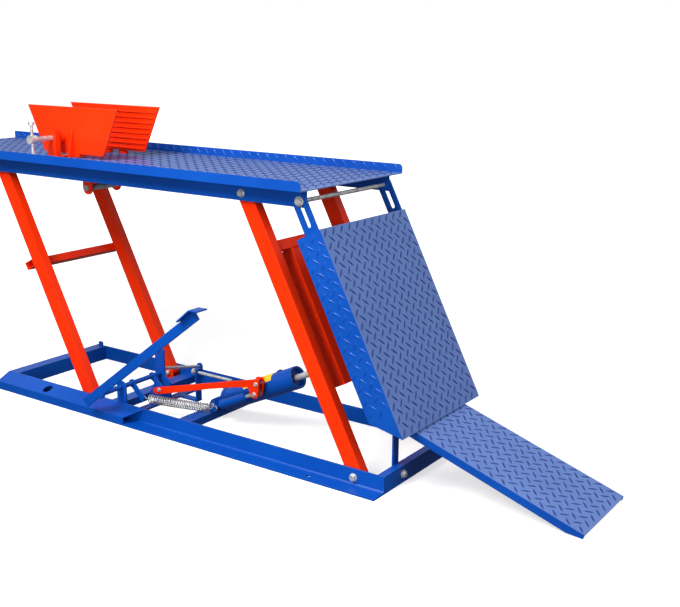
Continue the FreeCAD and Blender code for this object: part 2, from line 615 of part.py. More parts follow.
def vise():
    floor = "deck_top + shoe_gap"
    nut_post = cut(
        box("2 * post_half_width", "nut_length", "spindle_height + 3 * spindle_radius - deck_top",
            "spindle_side - post_half_width", "nut_face", "deck_top"),
        rod("y", "spindle_radius + run_gap", "2 * nut_length", "spindle_side",
            "nut_face - nut_length / 2", "spindle_height"))
    part("vise_base", fuse(nut_post, box(
        "2 * post_half_width", "far_jaw_face + 3 * jaw_wall - nut_face", "vise_base_wall",
        "spindle_side - post_half_width", "nut_face", "deck_top")))
    # Both jaws spread towards their top edge, as a funnel seen from the side.
    side = [("vise_front", "jaw_low"), ("vise_rear", "jaw_low"), ("vise_rear + vise_lean", "jaw_high"),
            ("vise_front - vise_lean", "jaw_high")]
    jaw_back = "far_jaw_face + jaw_wall"
    pieces = [slab("y", side, "jaw_wall", "far_jaw_face"),
              box("leg_width", "2 * jaw_wall", "jaw_high - vise_lean - deck_top", "leg_rear - leg_width",
                  jaw_back, "deck_top"),
              box("2 * post_half_width", "2 * jaw_wall", "jaw_high - vise_lean - deck_top - vise_base_wall",
                  "spindle_side - post_half_width", jaw_back, "deck_top + vise_base_wall")]
    for row in range(SIZES["ridge_count"]):
        rise = "(ridge_start + ridge_step * %d)" % row
        spread = "(%s - jaw_low) * vise_lean / (jaw_high - jaw_low)" % rise
        pieces.append(slab("y", [
            ("vise_front - %s + ridge_inset" % spread, rise), ("vise_rear + %s - ridge_inset" % spread, rise),
            ("vise_rear + %s - ridge_inset" % spread, rise + " + ridge_height"),
            ("vise_front - %s + ridge_inset" % spread, rise + " + ridge_height")],
            "ridge_height", "far_jaw_face - ridge_height"))
    part("vise_jaw_fixed", fuse(*pieces))
    near_back = "near_jaw_face - jaw_wall"
    shoe_out = near_back + " - shoe_reach"
    leg = slab("x", [(near_back, floor), (near_back + " + shoe_reach", floor),
                     (near_back + " + shoe_reach", "jaw_low - face_gap"), (near_back, "shoe_top")],
               "shoe_width", "shoe_front")
    shoe = slab("x", [(near_back, "shoe_top"), (shoe_out, "jaw_low"), (shoe_out, floor), (near_back, floor)],
                "jaw_wall", "shoe_front")
    housing = rod("y", "housing_radius", "housing_length", "spindle_side",
                  near_back + " - housing_length", "spindle_height")
    part("vise_jaw_moving", cut(
        fuse(slab("y", side, "jaw_wall", near_back), leg, shoe, housing),
        rod("y", "spindle_radius + run_gap", "housing_length", "spindle_side",
            near_back + " - housing_length - jaw_wall + face_gap", "spindle_height")))
    spindle_end = near_back + " - 2 * jaw_wall"
    knob_centre = "(spindle_near + knob_length / 2)"
    part("vise_spindle", cut(
        fuse(rod("y", "spindle_radius", spindle_end + " - spindle_near", "spindle_side", "spindle_near",
                 "spindle_height"),
             rod("y", "knob_radius", "knob_length", "spindle_side", "spindle_near", "spindle_height")),
        rod("z", "handle_radius", "4 * knob_radius", "spindle_side", knob_centre,
            "spindle_height - 2 * knob_radius")))
    part("vise_handle", fuse(
        rod("z", "handle_radius", "2 * handle_half", "spindle_side", knob_centre,
            "spindle_height - handle_half"),
        rod("z", "2 * handle_radius", "2 * handle_radius", "spindle_side", knob_centre,
            "spindle_height - handle_half"),
        rod("z", "2 * handle_radius", "2 * handle_radius", "spindle_side", knob_centre,
            "spindle_height + handle_half - 2 * handle_radius")))
    axle = "roller_height + roller_radius"
    lugs = []
    for face in ("lug_near_face", "lug_far_face"):
        lugs.append(cut(
            fuse(box("lug_rear - lug_front", "jaw_wall", "%s - (%s)" % (deck_under, axle), "lug_front", face,
                     axle),
                 rod("y", "(lug_rear - lug_front) / 2", "jaw_wall", "roller_side", face, axle)),
            rod("y", "pivot_radius", "3 * jaw_wall", "roller_side", face + " - jaw_wall", axle)))
    part("vise_lugs", solid_group(*lugs))
    part("vise_roller", fuse(
        rod("y", "roller_radius", "lug_far_face - lug_near_face - jaw_wall", "roller_side",
            "lug_near_face + jaw_wall", axle),
        rod("y", "pivot_radius", "lug_far_face - lug_near_face + jaw_wall", "roller_side", "lug_near_face",
            axle),
        rod("y", "head_radius", "head_height", "roller_side", "lug_near_face - head_height", axle)))


# Drop ramp, in the frame of the hanging rod with X down the plate
def drop_ramp():
    back = "drop_face - drop_depth"
    side = [("drop_start", "drop_face"), ("drop_end", "drop_face"), ("drop_end - drop_cut", back),
            ("drop_start", back)]
    plate = fuse(
        box("drop_end - drop_start", "2 * drop_half_width", "drop_wall", "drop_start",
            "-drop_half_width", "drop_face - drop_wall"),
        slab("y", side, "drop_wall", "-drop_half_width"),
        slab("y", side, "drop_wall", "drop_half_width - drop_wall"))
    part("drop_ramp_plate", tilt(plate, "drop_angle", "hang_rod", "", "hang_height", (0, 1, 0)))
    # Each strap lies against the inner face of a flange and hangs on the rod in its slot.
    low = "-strap_width / 2"
    y = "-%s - strap_wall" % strap_face
    half = "(hang_radius + 2 * face_gap)"
    strap = cut(
        fuse(box("drop_start + strap_overlap", "strap_wall", "strap_width", "", y, low),
             rod("y", "strap_width / 2", "strap_wall", "", y, "")),
        rod("y", half, "3 * strap_wall", "", y + " - strap_wall", ""),
        box("drop_slot - " + half, "3 * strap_wall", "2 * " + half, "", y + " - strap_wall", "-" + half),
        rod("y", half, "3 * strap_wall", "drop_slot - " + half, y + " - strap_wall", ""))
    both_sides("drop_ramp_arms", tilt(strap, "drop_angle", "hang_rod", "", "hang_height", (0, 1, 0)))


# Jack, in the frame of its base pin with X along the ram
pin_run = ("(rear_pivot - pin_reach * cos(raised_angle) - pin_offset * sin(raised_angle) - jack_pin)",
           "(pivot_height + pin_reach * sin(raised_angle) - pin_offset * cos(raised_angle) "
           "- jack_pin_height)")
jack_angle = "atan(%s / %s)" % (pin_run[1], pin_run[0])
ram_length = "sqrt(pow(%s; 2) + pow(%s; 2))" % pin_run


def set_jack(item):
    return tilt(item, jack_angle, "jack_pin", "", "jack_pin_height")


def jack():
    end = "(jack_start + jack_length)"
    inside = "jack_start + jack_floor"
    gland = "(%s - gland_depth - gland_wall)" % end
    part("jack_cylinder", set_jack(cut(
        fuse(rod("x", "jack_radius", end + " - jack_start", "jack_start"),
             rod("x", "jack_radius + collar_step", "jack_floor", "jack_start")),
        rod("x", "jack_bore", "%s - (%s)" % (gland, inside), inside),
        rod("x", "ram_radius + run_gap", "2 * gland_wall", gland + " - gland_wall / 2"),
        rod("x", "jack_bore", "2 * gland_depth", end + " - gland_depth"))))
    part("jack_base_block", set_jack(cut(
        fuse(box("jack_start", "2 * block_half_width", "2 * block_radius", "", "-block_half_width",
                 "-block_radius"),
             rod("y", "block_radius", "2 * block_half_width", "", "-block_half_width"),
             rod("y", "valve_radius", "valve_length", "valve_reach - jack_start", "block_half_width"),
             rod("y", "valve_rim_radius", "valve_length / 3", "valve_reach - jack_start",
                 "block_half_width + valve_length")),
        rod("y", "jack_pin_radius + run_gap", "3 * block_half_width", "", "-3 * block_half_width / 2"))))
    part("jack_fill_plug", set_jack(cut(
        fuse(rod("z", "plug_radius", "jack_radius + plug_height", "plug_reach"),
             rod("z", "plug_radius / 2", "jack_radius + plug_height + plug_knob", "plug_reach")),
        rod("x", "jack_radius", "6 * plug_radius", "plug_reach - 3 * plug_radius"))))
    part("jack_label", set_jack(common(
        tube("x", "jack_radius + label_gap + label_wall", "jack_radius + label_gap", "label_length",
             "label_start"),
        box("label_length", "jack_radius", "jack_radius", "label_start",
            "-jack_radius - label_gap - label_wall", "jack_radius / 2"))))
    barrel = cut(
        fuse(rod("x", "pump_radius", "pump_end - pump_chamfer - pump_start", "pump_start", "-pump_offset",
                 "-pump_drop"),
             rod("x", "pump_radius - pump_chamfer / 2", "pump_end - pump_start", "pump_start",
                 "-pump_offset", "-pump_drop"),
             box("pump_start", "pump_offset - jack_radius + saddle_depth", "pump_radius",
                 "pump_start + saddle_gap", "-pump_offset", "-pump_drop - pump_radius / 2")),
        rod("x", "piston_radius + run_gap", "pump_end", "pump_start + pump_radius / 2",
            "-pump_offset", "-pump_drop"),
        rod("x", "jack_radius", "pump_end", "jack_start"))
    part("pump_barrel", set_jack(barrel))


def ram():
    width = "2 * (ear_inner - face_gap)"
    part("ram_rod", set_jack(cut(
        fuse(rod("x", "jack_bore - run_gap", "piston_wall", "ram_inner_end"),
             rod("x", "ram_radius", "%s - ram_inner_end" % ram_length, "ram_inner_end"),
             rod("y", "eye_radius", width, ram_length, "-ear_inner + face_gap")),
        rod("y", "pin_radius", "2 * " + width, ram_length, "-2 * ear_inner"))))
    reach = "(ear_inner + ear_wall + face_gap)"
    part("ram_pin", set_jack(fuse(
        rod("y", "pin_radius", "2 * " + reach, ram_length, "-" + reach),
        rod("y", "pin_rim_radius", "washer_wall", ram_length, reach),
        rod("y", "pin_rim_radius", "washer_wall", ram_length, "-%s - washer_wall" % reach))))


def pump_piston():
    part("pump_piston", set_jack(cut(
        fuse(rod("x", "piston_radius", "tongue_reach - piston_inner_end", "piston_inner_end",
                 "-pump_offset", "-pump_drop"),
             rod("y", "tongue_radius", "2 * tongue_half", "tongue_reach", "-pump_offset - tongue_half",
                 "-pump_drop")),
        rod("y", "link_bolt_radius + run_gap", "4 * tongue_half", "tongue_reach",
            "-pump_offset - 2 * tongue_half", "-pump_drop"))))


# Pump link, in the frame of its lower fork bolt with X along the bar
link_at = ("(jack_pin + tongue_reach * cos(%s) + pump_drop * sin(%s))" % (jack_angle, jack_angle),
           "(jack_pin_height + tongue_reach * sin(%s) - pump_drop * cos(%s))" % (jack_angle, jack_angle))


def pump_link():
    low, top = [[(across + " - link_reach", up) for across, up in outline_names(name)]
                for name in ("link_end_low", "link_end_top")]
    near_outline = low + outline_names("link_leg") + top
    places = (("", ""), ("fork_bolt_across", "fork_bolt_up"))
    far_face = "-link_far_face - link_far_wall"
    holes = [rod("y", "link_bolt_radius", "2 * link_near_face", across, "-2 * link_near_face", up)
             for across, up in places + (("-link_reach", ""),)]
    near = cut(slab("y", near_outline, "link_wall", "-link_near_face"), *holes)
    bridge = box("fork_bridge_run", "link_near_face - link_far_face", "fork_bridge", "-fork_bridge",
                 "-link_near_face", "fork_top - 2 * fork_bridge")
    holes = [rod("y", "link_bolt_radius", "2 * link_far_face", across, "-2 * link_far_face", up)
             for across, up in places + (("fork_bolt_across / 2", "fork_bolt_up / 2"),)]
    far = cut(slab("y", outline_names("link_far_leg"), "link_far_wall", far_face), *holes)
    part("pump_link", tilt(fuse(near, bridge, far), "link_angle", link_at[0], "", link_at[1]))
    outside = "-link_near_face - link_head"
    bolts = []
    for across, up in places:
        bolts.append(fuse(
            rod("y", "link_bolt_radius", "link_near_face - link_far_face", across, "-link_near_face", up),
            rod("y", "link_head_radius", "link_head", across, outside, up),
            rod("y", "link_head_radius", "link_head", across, "-link_far_face", up)))
    bolts.append(fuse(
        rod("y", "link_bolt_radius", "link_wall", "-link_reach", "-link_near_face", ""),
        rod("y", "link_head_radius", "link_head", "-link_reach", outside, "")))
    part("pump_link_bolts", tilt(solid_group(*bolts), "link_angle", link_at[0], "", link_at[1]))


# Pedal
def lever(length, angle, face):
    """A flat lever from the shaft down to its pin hole."""
    half = "lever_width / 2"
    item = cut(
        fuse(box(length, "lever_wall", "lever_width", "", "", "-" + half),
             rod("y", half, "lever_wall", length), rod("y", "lever_boss_radius", "lever_wall")),
        rod("y", "shaft_radius", "3 * lever_wall", "", "-lever_wall"))
    return tilt(item, angle, "pedal_shaft", face, "pedal_height", (0, 1, 0))


def lever_end(length, angle):
    """Where a lever's pin is."""
    return ("(pedal_shaft + %s * cos(%s))" % (length, angle),
            "(pedal_height - %s * sin(%s))" % (length, angle))


def pedal():
    bar = cut(
        fuse(box("pedal_length + pedal_tail", "pedal_bar_wall", "pedal_bar_height", "-pedal_tail",
                 "pedal_bar_face", "pedal_bar_rise - pedal_bar_height / 2"),
             rod("y", "pedal_boss_radius", "pedal_bar_wall", "", "pedal_bar_face")),
        rod("y", "shaft_radius", "3 * pedal_bar_wall", "", "pedal_bar_face - pedal_bar_wall"))
    part("pedal_bar", tilt(bar, "pedal_angle", "pedal_shaft", "", "pedal_height"))
    top = "pedal_bar_rise + pedal_bar_height / 2"
    corners = [("pedal_length + " + across, top + " + " + up) for across, up in outline_names("foot_plate")]
    foot = slab("y", corners, "foot_width", "pedal_bar_face + pedal_bar_wall / 2 - foot_width / 2")
    weld = box("foot_weld_length", "pedal_bar_wall", "foot_weld_height", "pedal_length - foot_weld_back",
               "pedal_bar_face", top)
    part("pedal_foot_plate", tilt(fuse(foot, weld), "pedal_angle", "pedal_shaft", "", "pedal_height"))
    part("pedal_shaft", rod("y", "shaft_radius", "shaft_far - shaft_near", "pedal_shaft", "shaft_near",
                            "pedal_height"))
    # A stub on the spring lever has a rim that keeps the hook on.
    start = "spring_arm_face + lever_wall"
    end = "spring_near_side + stub_radius"
    x, z = lever_end("spring_arm_length", "spring_arm_angle")
    part("spring_lever", fuse(
        lever("spring_arm_length", "spring_arm_angle", "spring_arm_face"),
        rod("y", "stub_radius", "%s - (%s)" % (end, start), x, start, z),
        rod("y", "stub_rim", "stub_rim_wall", x, end, z)))
    # The link lever bears on the back of the pump link's bar with a short stub.
    face = "-link_near_face + link_wall + face_gap"
    x, z = lever_end("link_arm_length", "link_arm_angle")
    part("link_lever", fuse(
        lever("link_arm_length", "link_arm_angle", "link_arm_face"),
        rod("y", "link_head_radius", "link_arm_face - (%s)" % face, x, face, z)))


# Release rod
def release():
    part("release_rod", fuse(
        rod("x", "release_radius", "release_length", "release_start", "release_side", "release_height"),
        rod("x", "2 * release_radius", "2 * release_radius", "release_start", "release_side",
            "release_height")))


# Return spring, one tube from the spring lever to the stub on the jack's near lug
def spring():
    x, z = lever_end("spring_arm_length", "spring_arm_angle")
    ends = ((x, "spring_near_side", z), ("spring_anchor", "spring_far_side", "spring_anchor_height"))
    run, length = span(*ends)
    start = "(%s - spring_coil_length) / 2" % length
    path = doc.addObject("Part::Helix", "turns")
    bind(path, "Radius", "spring_radius")
    bind(path, "Pitch", "spring_coil_length / spring_turns")
    bind(path, "Height", "spring_coil_length")
    section = doc.addObject("Part::Circle", "wire")
    section.Placement = FreeCAD.Placement(FreeCAD.Vector(), FreeCAD.Rotation(FreeCAD.Vector(1, 0, 0), 90))
    bind(section, "Radius", "wire_radius")
    bind(section, "Placement.Base.x", "spring_radius")
    coil = doc.addObject("Part::Sweep", "coil")
    coil.Sections = [section]
    coil.Spine = (path, [])
    coil.Solid = True
    coil.Frenet = True
    bind(coil, "Placement.Base.z", start)
    hook_length = "2 * (spring_radius + wire_radius)"
    hook_start = "-spring_radius - wire_radius"
    hook = rod("x", "hook_radius", hook_length, hook_start, "", start)
    far_hook = rod("x", "hook_radius", hook_length, hook_start, "", "%s - %s" % (length, start))
    shanks = [rod("z", "shank_radius", "%s - hook_gap" % start, "", "", "hook_gap"),
              rod("z", "shank_radius", "%s - hook_gap" % start, "", "", "%s - %s" % (length, start))]
    part("return_spring", aim(fuse(coil, hook, far_hook, *shanks), ends[0], run, length))


base_frame()
toe_guard()
load_ramp()
base_pivot_bolts()
jack_mount()
pedal_mount()
release_mount()
arms()
deck()
vise()
drop_ramp()
jack()
ram()
pump_piston()
pump_link()
pedal()
release()
spring()
doc.recompute()

# Checks before anything is written
faults = []
for item in doc.Objects:
    if "Invalid" in item.State or "Error" in item.State:
        faults.append("%s %s %s" % (item.Name, item.Label, item.State))
for item in sub_parts:
    if item.Shape.isNull() or not item.Shape.isValid():
        faults.append("%s has no sound shape" % item.Label)
if faults:
    raise RuntimeError("; ".join(faults))

turn = FreeCAD.Vector(SIZES["spring_radius"], 0, 0)
pitch = SIZES["spring_coil_length"] / SIZES["spring_turns"]
steps = 720
least = min((FreeCAD.Vector(SIZES["spring_radius"] * math.cos(2 * math.pi * step / steps),
                            SIZES["spring_radius"] * math.sin(2 * math.pi * step / steps),
                            pitch * step / steps) - turn).Length
            for step in range(steps // 2, 3 * steps // 2))
print("least gap between spring turns %.2f mm" % (least - 2 * SIZES["wire_radius"]))

os.makedirs("parts", exist_ok=True)
for item in sub_parts:
    item.Shape.exportStep("parts/%s.step" % item.Label)
    extent = item.Shape.BoundBox
    print("%-28s x %8.1f %8.1f  y %7.1f %7.1f  z %7.1f %7.1f  solids %d  volume %.0f" % (
        item.Label, extent.XMin, extent.XMax, extent.YMin, extent.YMax, extent.ZMin, extent.ZMax,
        len(item.Shape.Solids), item.Shape.Volume))
print("%d sub-parts" % len(sub_parts))
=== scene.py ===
"""Studio scene of the motorcycle lift: its finishes, tread pattern, bolts, welds and spring."""

from __future__ import annotations

import json
import logging
import math
from dataclasses import dataclass, field
from enum import Enum
from typing import Iterable, Sequence

import bmesh
import bpy
from mathutils import Matrix, Vector

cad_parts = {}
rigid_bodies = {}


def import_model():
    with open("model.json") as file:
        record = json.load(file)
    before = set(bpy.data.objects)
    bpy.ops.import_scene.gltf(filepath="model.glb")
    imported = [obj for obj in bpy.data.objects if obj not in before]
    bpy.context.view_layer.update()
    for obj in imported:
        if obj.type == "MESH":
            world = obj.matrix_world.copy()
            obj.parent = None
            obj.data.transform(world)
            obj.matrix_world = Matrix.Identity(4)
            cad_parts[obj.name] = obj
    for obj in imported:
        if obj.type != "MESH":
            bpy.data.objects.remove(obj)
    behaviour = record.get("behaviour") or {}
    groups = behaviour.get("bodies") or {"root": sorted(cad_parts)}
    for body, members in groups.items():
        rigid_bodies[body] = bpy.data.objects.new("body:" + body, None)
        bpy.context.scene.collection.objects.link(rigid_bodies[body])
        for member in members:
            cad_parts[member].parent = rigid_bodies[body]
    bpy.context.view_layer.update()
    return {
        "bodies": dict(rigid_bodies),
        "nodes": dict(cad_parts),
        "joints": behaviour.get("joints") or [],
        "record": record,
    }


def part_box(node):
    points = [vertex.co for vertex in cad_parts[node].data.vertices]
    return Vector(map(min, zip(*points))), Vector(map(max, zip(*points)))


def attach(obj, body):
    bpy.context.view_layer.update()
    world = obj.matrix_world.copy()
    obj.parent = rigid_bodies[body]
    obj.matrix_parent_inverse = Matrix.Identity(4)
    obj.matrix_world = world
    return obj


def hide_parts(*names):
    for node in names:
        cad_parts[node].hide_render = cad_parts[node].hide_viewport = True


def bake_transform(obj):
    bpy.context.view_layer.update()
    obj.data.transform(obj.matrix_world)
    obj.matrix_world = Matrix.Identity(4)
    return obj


LOG = logging.getLogger("lift")
MM = 0.001
ROD = (0.493, 0.0, 0.762)

Rgb = tuple[float, float, float]
Point = tuple[float, float, float]
Profile = Sequence[tuple[float, float]]


class Side(Enum):
    """The two sides of the lift; the value is the sign of Y."""

    NEAR = -1
    FAR = 1


class Lean(Enum):
    """The two ways a tread lug leans on the plate, in degrees."""

    LEFT = 45
    RIGHT = -45


# Finishes

MIX_FIRST, MIX_SECOND = 6, 7
MIX_RESULT = 2


class Nodes:
    """A material's node tree with short calls for making and linking nodes."""

    bevel_samples = 4
    grain_detail = 3.0

    def __init__(self, name: str) -> None:
        """Start a material with an empty tree, its shader and its output.

        Args:
            name: Name of the material.
        """
        self.material = bpy.data.materials.new(name)
        self.material.use_nodes = True
        self.tree = self.material.node_tree
        self.tree.nodes.clear()
        self.shader = self.tree.nodes.new("ShaderNodeBsdfPrincipled")
        self.link(self.shader, "BSDF", self.add("ShaderNodeOutputMaterial"), "Surface")

    def add(self, kind: str, **values: object) -> bpy.types.Node:
        """Add a node and set its fields and input values.

        Args:
            kind: Blender's name of the node type.
            **values: Fields of the node, or inputs by name with underscores for spaces.

        Returns:
            The new node.
        """
        node = self.tree.nodes.new(kind)
        for key, value in values.items():
            if hasattr(node, key):
                setattr(node, key, value)
            else:
                node.inputs[key.replace("_", " ")].default_value = value
        return node

    def link(self, source: bpy.types.Node, out: str | int,
             target: bpy.types.Node, into: str | int) -> None:
        """Link an output of one node to an input of another.

        Args:
            source: Node that gives the value.
            out: Name or number of its output.
            target: Node that takes the value.
            into: Name or number of its input.
        """
        self.tree.links.new(source.outputs[out], target.inputs[into])

    def noise(self, scale: float, detail: float) -> bpy.types.Node:
        """Add a noise in the object's own coordinates.

        Args:
            scale: Its scale.
            detail: Its detail.

        Returns:
            The noise node, whose first output is the value.
        """
        place = self.add("ShaderNodeTexCoord")
        noise = self.add("ShaderNodeTexNoise", Scale=scale, Detail=detail)
        self.link(place, "Object", noise, "Vector")
        return noise

    def ramp(self, source: bpy.types.Node, ends: tuple[float, float],
             low: Rgb, high: Rgb) -> bpy.types.Node:
        """Add a ramp between two colours.

        Args:
            source: Node whose first output runs along the ramp.
            ends: Values that give the first and the last colour.
            low: First linear colour.
            high: Last linear colour.

        Returns:
            The ramp node, whose first output is the colour.
        """
        node = self.add("ShaderNodeValToRGB")
        for element, end, colour in zip(node.color_ramp.elements, ends, (low, high)):
            element.position = end
            element.color = (*colour, 1.0)
        self.link(source, 0, node, 0)
        return node

    def gloss(self, source: bpy.types.Node, roughness: float, spread: tuple[float, float]) -> None:
        """Let a value vary the shader's roughness.

        Args:
            source: Node whose first output is the value.
            roughness: Roughness in the middle.
            spread: Shares of it where the value is zero and where it is one.
        """
        low, high = (roughness * share for share in spread)
        node = self.add("ShaderNodeMapRange", To_Min=low, To_Max=high)
        self.link(source, 0, node, 0)
        self.link(node, 0, self.shader, "Roughness")

    def bump(self, scale: float, depth: float, edge: float) -> None:
        """Give the shader rounded edges and a surface grain.

        Args:
            scale: Scale of the grain's noise.
            depth: Height of the grain in metres.
            edge: Radius in metres that the light sees on sharp edges.
        """
        grain = self.noise(scale, self.grain_detail)
        bevel = self.add("ShaderNodeBevel", samples=self.bevel_samples, Radius=edge)
        bump = self.add("ShaderNodeBump", Strength=1.0, Distance=depth)
        self.link(grain, 0, bump, "Height")
        self.link(bevel, 0, bump, "Normal")
        self.link(bump, 0, self.shader, "Normal")


@dataclass(frozen=True)
class PowderCoat:
    """Glossy powder coat with a faint orange peel and a slow drift of colour."""

    name: str
    colour: Rgb
    shade: Rgb
    roughness: float = 0.3
    specular: float = 0.28
    peel_scale: float = 420.0
    peel_depth: float = 0.00004
    edge: float = 0.0016
    drift_scale: float = 3.5
    drift_detail: float = 4.0
    drift_ends: tuple[float, float] = (0.3, 0.7)
    gloss: tuple[float, float] = (0.8, 1.25)

    def build(self) -> bpy.types.Material:
        """Build the coat.

        Returns:
            Its material.
        """
        nodes = Nodes(self.name)
        nodes.shader.inputs["Specular IOR Level"].default_value = self.specular
        drift = nodes.noise(self.drift_scale, self.drift_detail)
        self.paint(nodes, drift)
        nodes.gloss(drift, self.roughness, self.gloss)
        nodes.bump(self.peel_scale, self.peel_depth, self.edge)
        return nodes.material

    def paint(self, nodes: Nodes, drift: bpy.types.Node) -> None:
        """Link the drift of colour to the shader.

        Args:
            nodes: The material that is being built.
            drift: Noise that the colour follows.
        """
        colour = nodes.ramp(drift, self.drift_ends, self.shade, self.colour)
        nodes.link(colour, 0, nodes.shader, "Base Color")


@dataclass(frozen=True)
class TreadCoat(PowderCoat):
    """Powder coat on tread plate, with a painted sheen: faces that don't face the sides are greyed,
    standing in for the reflection of the pale surroundings.
    """

    drift_scale: float = 6.0
    drift_detail: float = 5.0
    gloss: tuple[float, float] = (0.9, 1.3)
    # Painted sheen: its grey-blue, the ends of its drift and the share that darkens its low end.
    painted_sheen: Rgb = (0.100, 0.177, 0.445)
    painted_sheen_ends: tuple[float, float] = (0.25, 0.75)
    painted_sheen_dim: float = 0.86
    side_share: float = 0.75

    def paint(self, nodes: Nodes, drift: bpy.types.Node) -> None:
        """Grey the faces that don't face the sides with a painted sheen and keep the sides in the
        coat's own colour.

        Args:
            nodes: The material that is being built.
            drift: Noise that both colours follow.
        """
        # The sides keep the coat's colour; the other faces take a paler grey-blue, a painted
        # reflection of the pale surroundings.
        plain_coat = nodes.ramp(drift, self.drift_ends, self.shade, self.colour)
        dull = tuple(self.painted_sheen_dim * value for value in self.painted_sheen)
        painted_sheen = nodes.ramp(drift, self.painted_sheen_ends, dull, self.painted_sheen)
        place = nodes.add("ShaderNodeTexCoord")
        parts = nodes.add("ShaderNodeSeparateXYZ")
        nodes.link(place, "Normal", parts, 0)
        size = nodes.add("ShaderNodeMath", operation="ABSOLUTE")
        nodes.link(parts, "Y", size, 0)
        upright = nodes.add("ShaderNodeMath", operation="GREATER_THAN")
        upright.inputs[1].default_value = self.side_share
        nodes.link(size, 0, upright, 0)
        # Mix the painted sheen on faces off the sides with the coat's colour on the sides.
        mix = nodes.add("ShaderNodeMix", data_type="RGBA")
        nodes.link(upright, 0, mix, "Factor")
        nodes.link(painted_sheen, 0, mix, MIX_FIRST)
        nodes.link(plain_coat, 0, mix, MIX_SECOND)
        nodes.link(mix, MIX_RESULT, nodes.shader, "Base Color")


@dataclass(frozen=True)
class PlatedSteel:
    """Bare or zinc plated steel with fine scratches."""

    name: str
    colour: Rgb = (0.72, 0.72, 0.73)
    dull: Rgb = (0.42, 0.42, 0.43)
    roughness: float = 0.34
    metal: float = 0.6
    grain_scale: float = 260.0
    grain_depth: float = 0.00003
    edge: float = 0.0006
    cloud_scale: float = 55.0
    cloud_detail: float = 6.0
    cloud_ends: tuple[float, float] = (0.32, 0.62)
    gloss: tuple[float, float] = (0.7, 1.5)

    def build(self) -> bpy.types.Material:
        """Build the steel.

        Returns:
            Its material.
        """
        nodes = Nodes(self.name)
        nodes.shader.inputs["Metallic"].default_value = self.metal
        cloud = nodes.noise(self.cloud_scale, self.cloud_detail)
        colour = nodes.ramp(cloud, self.cloud_ends, self.dull, self.colour)
        nodes.link(colour, 0, nodes.shader, "Base Color")
        nodes.gloss(cloud, self.roughness, self.gloss)
        nodes.bump(self.grain_scale, self.grain_depth, self.edge)
        return nodes.material


@dataclass(frozen=True)
class LabelFilm:
    """Plain yellow film, slightly wrinkled and scuffed."""

    name: str = "yellow_label"
    colour: Rgb = (0.93, 0.62, 0.01)
    scuffed: Rgb = (0.80, 0.50, 0.02)
    roughness: float = 0.42
    wrinkle_scale: float = 70.0
    wrinkle_depth: float = 0.0003
    edge: float = 0.0003
    cloud_scale: float = 40.0
    cloud_detail: float = 5.0
    cloud_ends: tuple[float, float] = (0.3, 0.55)

    def build(self) -> bpy.types.Material:
        """Build the film.

        Returns:
            Its material.
        """
        nodes = Nodes(self.name)
        cloud = nodes.noise(self.cloud_scale, self.cloud_detail)
        colour = nodes.ramp(cloud, self.cloud_ends, self.scuffed, self.colour)
        nodes.link(colour, 0, nodes.shader, "Base Color")
        nodes.shader.inputs["Roughness"].default_value = self.roughness
        nodes.bump(self.wrinkle_scale, self.wrinkle_depth, self.edge)
        return nodes.material


@dataclass
class Palette:
    """All finishes of the lift, by the name of the record's slot."""

    made: dict[str, bpy.types.Material] = field(default_factory=dict)

    def build(self) -> None:
        """Build every finish once; each coat has its colour and the shade that it drifts to."""
        blues = ((0.0012, 0.073, 0.415), (0.0009, 0.058, 0.355))
        # Darker blues of the lugs off the sides: painted shade that stands in for their shaded
        # flanks.
        lug_shade_blues = ((0.020, 0.045, 0.20), (0.014, 0.034, 0.16))
        reds = ((0.90, 0.034, 0.001), (0.82, 0.022, 0.001))
        brights = ((0.80, 0.80, 0.80), (0.55, 0.55, 0.55))
        finishes = {
            "blue_paint": PowderCoat("blue_paint", *blues),
            # The tread coat is greyed by a painted sheen on faces that don't face the sides.
            "tread": TreadCoat("tread_paint", *blues, roughness=0.34),
            "lug": PowderCoat("lug_painted_shade", *lug_shade_blues, roughness=0.36),
            "red_paint": PowderCoat("red_paint", *reds, specular=0.2, edge=0.003),
            "zinc_steel": PlatedSteel("zinc_steel"),
            "bright_steel": PlatedSteel("bright_steel", *brights, roughness=0.16),
            "spring_steel": PlatedSteel("spring_steel", (0.66, 0.66, 0.67), roughness=0.26),
            "yellow_label": LabelFilm(),
        }
        for slot, finish in finishes.items():
            self.made[slot] = finish.build()

    def __getitem__(self, slot: str) -> bpy.types.Material:
        """Look a finish up.

        Args:
            slot: Name of its slot.

        Returns:
            Its material.
        """
        return self.made[slot]


# Meshes

STEEP = 0.9


def new_piece(name: str, mesh: bmesh.types.BMesh, finish: bpy.types.Material,
              smooth: float = 35) -> bpy.types.Object:
    """Turn a bmesh into a scene object with one finish.

    Args:
        name: Name of the piece.
        mesh: The shape, in metres in the row frame; it is freed.
        finish: Its material.
        smooth: Edges flatter than this angle in degrees are shaded smooth.

    Returns:
        The new object.
    """
    bmesh.ops.recalc_face_normals(mesh, faces=mesh.faces)
    for face in mesh.faces:
        face.smooth = True
    for edge in mesh.edges:
        if len(edge.link_faces) != 2 or edge.calc_face_angle(0.0) > math.radians(smooth):
            edge.smooth = False
    data = bpy.data.meshes.new(name)
    mesh.to_mesh(data)
    mesh.free()
    data.materials.append(finish)
    piece = bpy.data.objects.new(name, data)
    bpy.context.collection.objects.link(piece)
    return piece


def add_loops(mesh: bmesh.types.BMesh, loops: Sequence[Sequence[Vector]]) -> None:
    """Skin rings of points one after another, with a cap on each end.

    Args:
        mesh: The bmesh that takes the skin.
        loops: Rings with the same number of points.
    """
    rings = [[mesh.verts.new(point) for point in loop] for loop in loops]
    mesh.faces.new(rings[0])
    mesh.faces.new(reversed(rings[-1]))
    count = len(rings[0])
    for first, second in zip(rings, rings[1:]):
        for index in range(count):
            after = (index + 1) % count
            mesh.faces.new((first[index], first[after], second[after], second[index]))


